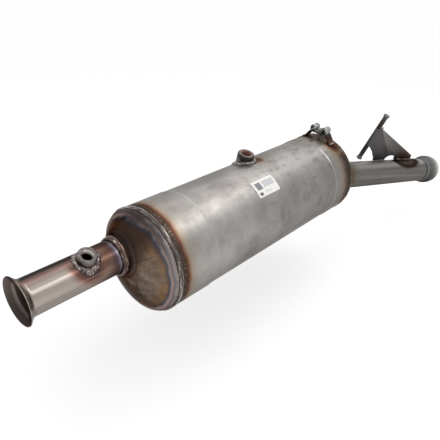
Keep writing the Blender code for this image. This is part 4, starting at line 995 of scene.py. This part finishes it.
def zinc_plate():
    """Bright zinc plating, lightly greyed: pale bluish silver with soft spangle."""
    finish, tree, shader, where = metal("bright_zinc_plated_steel")
    spangle = add(tree, "TexVoronoi", {"Vector": where, "Scale": 420.0})
    cloud = add(tree, "TexNoise", {"Vector": where, "Scale": 160.0, "Detail": 4.0})
    both = add(tree, "Math", {0: spangle.outputs[0], 1: 0.4, 2: cloud.outputs[0]}, operation="MULTIPLY_ADD")
    colour = add(tree, "ValToRGB", {0: both.outputs[0]},
                 stops=[(0.45, "626464"), (0.62, "868886"), (0.80, "A8AAA6")])
    tree.links.new(colour.outputs[0], shader.inputs["Base Color"])
    shader.inputs["Roughness"].default_value = 0.40
    shader.inputs["Specular Tint"].default_value = (0.60, 0.60, 0.60, 1.0)
    soft = add(tree, "Bump", {"Height": cloud.outputs[0], "Strength": 0.25, "Distance": 0.0004})
    tree.links.new(soft.outputs[0], shader.inputs["Normal"])
    return finish


half_base = 0.0280
sag = CAN_RADIUS - math.sqrt(CAN_RADIUS ** 2 - half_base ** 2)
holder_middle = HOLDER_RISE - HOLDER_SHEET / 2
holder_foot = -sag + HOLDER_SHEET / 2 + 0.0003
hat = eased([(-half_base, holder_foot), (-0.0180, holder_middle), (0.0180, holder_middle), (half_base, holder_foot)],
            0.0040)
holder = strip("holder_strip", hat, HOLDER_WIDTH, HOLDER_SHEET, holder_place)
drill(holder, 0.0033, 0.0100, holder_place @ Matrix.Translation((0, 0, holder_middle)))
strip_steel = oxidised_strip_steel()
dress(holder, strip_steel, ["pipe_holder"], angle=40)

HUMP = 0.0056
HUMP_RISE = 0.0050
clamp_base = HOLDER_RISE + 0.0003 + CLAMP_SHEET / 2
saddle = []
for side in (-0.0125, 0.0125):
    saddle.append(Vector((side - HUMP, clamp_base - (CLAMP_SHEET / 2 if side < 0 else 0))))
    for i in range(13):
        turn = math.pi * (1 - i / 12)
        saddle.append(Vector((side + HUMP * math.cos(turn), clamp_base + HUMP_RISE + HUMP * math.sin(turn))))
    saddle.append(Vector((side + HUMP, clamp_base - (CLAMP_SHEET / 2 if side > 0 else 0))))
clamp = strip("twin_clamp", saddle, 0.0160, CLAMP_SHEET, holder_place, edge=0.00025)
drill(clamp, 0.0033, 0.0040, holder_place @ Matrix.Translation((0, 0, clamp_base)))
zinc = zinc_plate()
dress(clamp, zinc, ["pipe_clamp"], angle=40)


def hex_block(name, base, height, place):
    """Hexagonal block with rounded edges."""
    deselect()
    bpy.ops.mesh.primitive_cylinder_add(vertices=6, radius=0.0100 / math.sqrt(3), depth=height,
                                        location=(0, 0, base + height / 2))
    block = bpy.context.object
    block.name = block.data.name = name
    bpy.ops.object.transform_apply(location=True, rotation=True, scale=True)
    softer = block.modifiers.new("edges", "BEVEL")
    softer.width = 0.0005
    softer.segments = 3
    softer.limit_method = "ANGLE"
    settle_modifiers(block)
    block.matrix_world = place
    return block


head_seat = HOLDER_RISE + 0.0003 + CLAMP_SHEET + 0.0003
shank_low = HOLDER_RISE - HOLDER_SHEET - 0.0050 - 0.0015
head = hex_block("clamp_screw", head_seat, 0.0040, holder_place)
shank = [(shank_low, 0.00002), (shank_low, 0.0022), (shank_low + 0.0006, 0.0029)]
level = shank_low + 0.0010
while level < head_seat - 0.0015:
    shank += [(level, 0.0030), (level + 0.0005, 0.0026)]
    level += 0.0010
shank += [(head_seat - 0.0006, 0.0030), (head_seat + 0.0020, 0.0030), (head_seat + 0.0020, 0.00002)]
stem = hooped("stem", shank, holder_place @ Matrix.Rotation(-math.pi / 2, 4, "Y"), sides=32, closed=False)
deselect()
stem.select_set(True)
head.select_set(True)
bpy.context.view_layer.objects.active = head
bpy.ops.object.transform_apply(location=True, rotation=True, scale=True)
bpy.ops.object.join()
dress(head, zinc, ["clamp_bolt"], angle=40)
nut = hex_block("clamp_screw_nut", HOLDER_RISE - HOLDER_SHEET - 0.0003 - 0.0050, 0.0050, holder_place)
drill(nut, 0.0033, 0.0200, holder_place @ Matrix.Translation((0, 0, HOLDER_RISE - HOLDER_SHEET - 0.0028)))
dress(nut, zinc, ["clamp_nut"], angle=40)


def weld_run(name, start, end, radius, place, pitch=0.0024):
    """A straight bead with ripples and rounded ends."""
    run = Vector(end) - Vector(start)
    along = place @ Matrix.Translation(start) @ run.to_track_quat("X", "Z").to_matrix().to_4x4()
    count = max(30, round(run.length / pitch) * 8)
    hoops = []
    for i in range(count + 1):
        share = i / count
        x = -0.7 * radius + share * (run.length + 1.4 * radius)
        past = max(0, -x, x - run.length) / (0.7 * radius)
        taper = max(0.003, math.sqrt(max(0, 1 - past ** 2)))
        hoops.append((x, radius * taper * (1 + 0.07 * math.cos(2 * math.pi * x / pitch))))
    piece = hooped(name, hoops, along, sides=20, closed=False)
    for vertex in piece.data.vertices:
        vertex.co += 0.00022 * Vector((noise.noise(vertex.co * 520), noise.noise(vertex.co * 520 + Vector((9, 9, 9))),
                                       noise.noise(vertex.co * 520 + Vector((5, 1, 7)))))
    return piece


FOOT_BEAD = 0.0018
foot_reach = half_base + HOLDER_SHEET / 2 + FOOT_BEAD + 0.0003
foot_height = math.sqrt((CAN_RADIUS + 0.0003 + FOOT_BEAD) ** 2 - foot_reach ** 2) - CAN_RADIUS
half_foot = HOLDER_WIDTH / 2 - FOOT_BEAD
for name, node, side in (("holder_bead_left", "holder_weld_left", 1), ("holder_bead_right", "holder_weld_right", -1)):
    bead = weld_run(name, (-half_foot, side * foot_reach, foot_height), (half_foot, side * foot_reach, foot_height),
                    FOOT_BEAD, holder_place)
    dress(bead, boss_metal, [node], angle=60)


# The hanger. A 10 mm rod with upset ends takes the rubber mount. It is welded to a 3 mm gusset that
# is folded once and notched, and whose two feet are welded to the outlet pipe.
hanger_place = (outlet_place @ Matrix.Translation((0.0862, 0.0110, 0.0337))
                @ Matrix.Rotation(math.radians(23.4), 4, "X"))


def mill_scale_steel(name, ramp, rust, along=(1.0, 0.0, 1.292), start=0.0825, end=0.1625):
    """Hot-rolled steel with its mill scale: dark matt grey, rusting at the welds."""
    finish, tree, shader, where = metal(name)
    into = hanger_place.inverted()
    spot = add(tree, "Mapping", {"Vector": where, "Location": into.to_translation(), "Rotation": into.to_euler()})
    spot = spot.outputs[0]
    scale = add(tree, "TexNoise", {"Vector": where, "Scale": 130.0, "Detail": 6.0, "Roughness": 0.62})
    drift = add(tree, "TexNoise", {"Vector": where, "Scale": 85.0, "Detail": 4.0}).outputs[0]
    share = add(tree, "VectorMath", {0: spot, 1: along}, operation="DOT_PRODUCT")
    share = wandering(tree, share.outputs["Value"], scale.outputs[0], 0.008)
    across = add(tree, "MapRange", {"Value": share, "From Min": start, "From Max": end})
    colour = add(tree, "ValToRGB", {0: across.outputs[0]}, stops=ramp).outputs[0]
    for point, size, strength in rust:
        colour = tint(tree, colour, wandering(tree, away_from(tree, spot, point), drift, 0.014), 0.004, size,
                      [(0.0, "4E3430"), (0.5, "5A4640"), (1.0, "5E5650")], [(0.0, strength), (1.0, 0.0)])
    tree.links.new(colour, shader.inputs["Base Color"])
    shader.inputs["Roughness"].default_value = 0.46
    pits = add(tree, "Bump", {"Height": scale.outputs[0], "Strength": 0.30, "Distance": 0.0006})
    tree.links.new(pits.outputs[0], shader.inputs["Normal"])
    return finish


rod_hoops = [(0.0, 0.00002), (0.0, 0.0046), (0.0004, 0.0057), (0.0014, 0.0065), (0.0025, 0.0066), (0.0038, 0.0065),
             (0.0048, 0.0058), (0.0062, 0.0051), (0.0075, 0.0050)]
rod_hoops += [(0.1146 - x, radius) for x, radius in reversed(rod_hoops)]
rod = hooped("hanger_bar", rod_hoops, hanger_place @ Matrix.Rotation(-math.pi / 2, 4, "Y"), sides=48, closed=False)
rod_steel = mill_scale_steel("drawn_bar_with_scale", [(0.0, "7A7874"), (0.08, "5C5A57"), (0.16, "3C3A37"),
                                                      (0.84, "3C3A37"), (0.93, "54524F"), (1.0, "74726E")],
                             [((0.0, 0.0, 0.084), 0.014, 0.35)], along=(0.0, 0.0, 1.0), start=0.0, end=0.1146)
dress(rod, rod_steel, ["hanger_rod"], angle=40)

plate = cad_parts["hanger_plate"].copy()
plate.data = plate.data.copy()
bpy.context.scene.collection.objects.link(plate)
plate.name = plate.data.name = "hanger_gusset"
deselect()
plate.select_set(True)
bpy.context.view_layer.objects.active = plate
bpy.ops.object.mode_set(mode="EDIT")
bpy.ops.mesh.select_all(action="SELECT")
bpy.ops.mesh.remove_doubles(threshold=0.00001)
bpy.ops.mesh.dissolve_limited(angle_limit=math.radians(1.5))
bpy.ops.object.mode_set(mode="OBJECT")
rounding = plate.modifiers.new("edges", "BEVEL")
rounding.width = 0.0005
rounding.segments = 2
rounding.limit_method = "ANGLE"
rounding.angle_limit = math.radians(40)
settle_modifiers(plate)
plate_steel = mill_scale_steel("hot_rolled_gusset_plate",
                               [(0.0, "4C494A"), (0.34, "4A4748"), (0.375, "7A7774"), (0.46, "6A6764"),
                                (0.75, "5C5A57"), (1.0, "565450")],
                               [((0.150, -0.010, 0.012), 0.045, 0.9), ((0.0, 0.0, 0.080), 0.016, 0.4)])
dress(plate, plate_steel, ["hanger_plate"], angle=30)
rusty_metal = weld_metal("rusty_weld_metal", [(0.18, "2E2420"), (0.42, "4A3A32"), (0.62, "6A5A50"),
                                              (0.86, "AFA298")], rough=0.34)
for name, node, start, end, size in (
        ("rod_bead", "hanger_rod_weld", (0.0065, -0.0032, 0.0408), (0.0065, -0.0032, 0.0743), 0.0018),
        ("rod_top_bead", "hanger_top_weld", (-0.0050, -0.0071, 0.0864), (0.0036, -0.0071, 0.0864), 0.0018),
        ("gusset_foot_bead", "hanger_foot_weld", (0.1326, -0.0129, 0.0031), (0.1840, -0.0169, 0.0042), 0.0024),
        ("gusset_rear_bead", "hanger_foot_weld_rear", (0.0549, -0.0026, -0.0032), (0.0850, -0.0026, -0.0032),
         0.0024)):
    bead = weld_run(name, start, end, size, hanger_place)
    dress(bead, boss_metal if name == "rod_top_bead" else rusty_metal, [node], angle=60)


# Studio: white floor and surround, a strip softbox along the can, a wide one behind it, and a small
# one over the inlet pipe.
scene = bpy.context.scene
scene.view_settings.view_transform = "Standard"
eye = bpy.data.cameras.new("camera")
eye.sensor_width = 36.0
eye.lens = 39.47
eye.clip_end = 50
camera = bpy.data.objects.new("camera", eye)
right = Vector((0.67005, -0.74207, -0.01916))
up = Vector((0.33833, 0.28231, 0.89768))
back = Vector((-0.66073, -0.60798, 0.44023))
turn = Matrix((right, up, back)).transposed().to_4x4()
camera.matrix_world = Matrix.Translation((-0.184353, -0.501382, 0.336275)) @ turn
scene.collection.objects.link(camera)
scene.camera = camera

deselect()
bpy.ops.mesh.primitive_plane_add(size=40, location=(0.5, 0, -0.22))
floor = bpy.context.object
floor.name = "floor"
pale_floor = bpy.data.materials.new("pale_floor")
pale_floor.use_nodes = True
tree = pale_floor.node_tree
shader = tree.nodes["Principled BSDF"]
shader.inputs["Base Color"].default_value = (0.80, 0.80, 0.80, 1)
shader.inputs["Roughness"].default_value = 1.0
shader.inputs["Specular IOR Level"].default_value = 0.0
shader.inputs["Emission Color"].default_value = (1, 1, 1, 1)


def seen_rays(tree):
    """1 for rays from the camera, from a mirror surface or through glass."""
    rays = add(tree, "LightPath")
    seen = add(tree, "Math", {0: rays.outputs["Is Camera Ray"], 1: rays.outputs["Is Glossy Ray"]},
               operation="MAXIMUM")
    return add(tree, "Math", {0: seen.outputs[0], 1: rays.outputs["Is Transmission Ray"]},
               operation="MAXIMUM").outputs[0]


glow = add(tree, "Math", {0: seen_rays(tree), 1: 0.31}, operation="MULTIPLY")
tree.links.new(glow.outputs[0], shader.inputs["Emission Strength"])
floor.data.materials.append(pale_floor)

world = bpy.data.worlds.new("studio")
world.use_nodes = True
scene.world = world
tree = world.node_tree
sky = tree.nodes["Background"]
level = add(tree, "MapRange", {"Value": seen_rays(tree), "To Min": 0.85, "To Max": 1.0})
tree.links.new(level.outputs[0], sky.inputs["Strength"])
sky.inputs["Color"].default_value = (1, 1, 1, 1)

for name, spot, aim, width, depth, power in (
        ("strip_softbox", (1.00, -0.48, 0.86), (0.33, -0.04, 0.02), 1.0, 0.36, 2.8),
        ("wide_softbox", (1.25, 0.30, 1.15), (0.42, 0, 0), 1.0, 1.0, 2.4),
        ("inlet_softbox", (0.51, -0.88, 0.87), (0.05, 0, 0), 0.5, 0.4, 1.0)):
    light = bpy.data.lights.new(name, "AREA")
    light.shape = "RECTANGLE"
    light.size = width
    light.size_y = depth
    light.energy = power
    lamp = bpy.data.objects.new(name, light)
    lamp.location = spot
    lamp.rotation_euler = (Vector(aim) - Vector(spot)).to_track_quat("-Z", "Y").to_euler()
    scene.collection.objects.link(lamp)
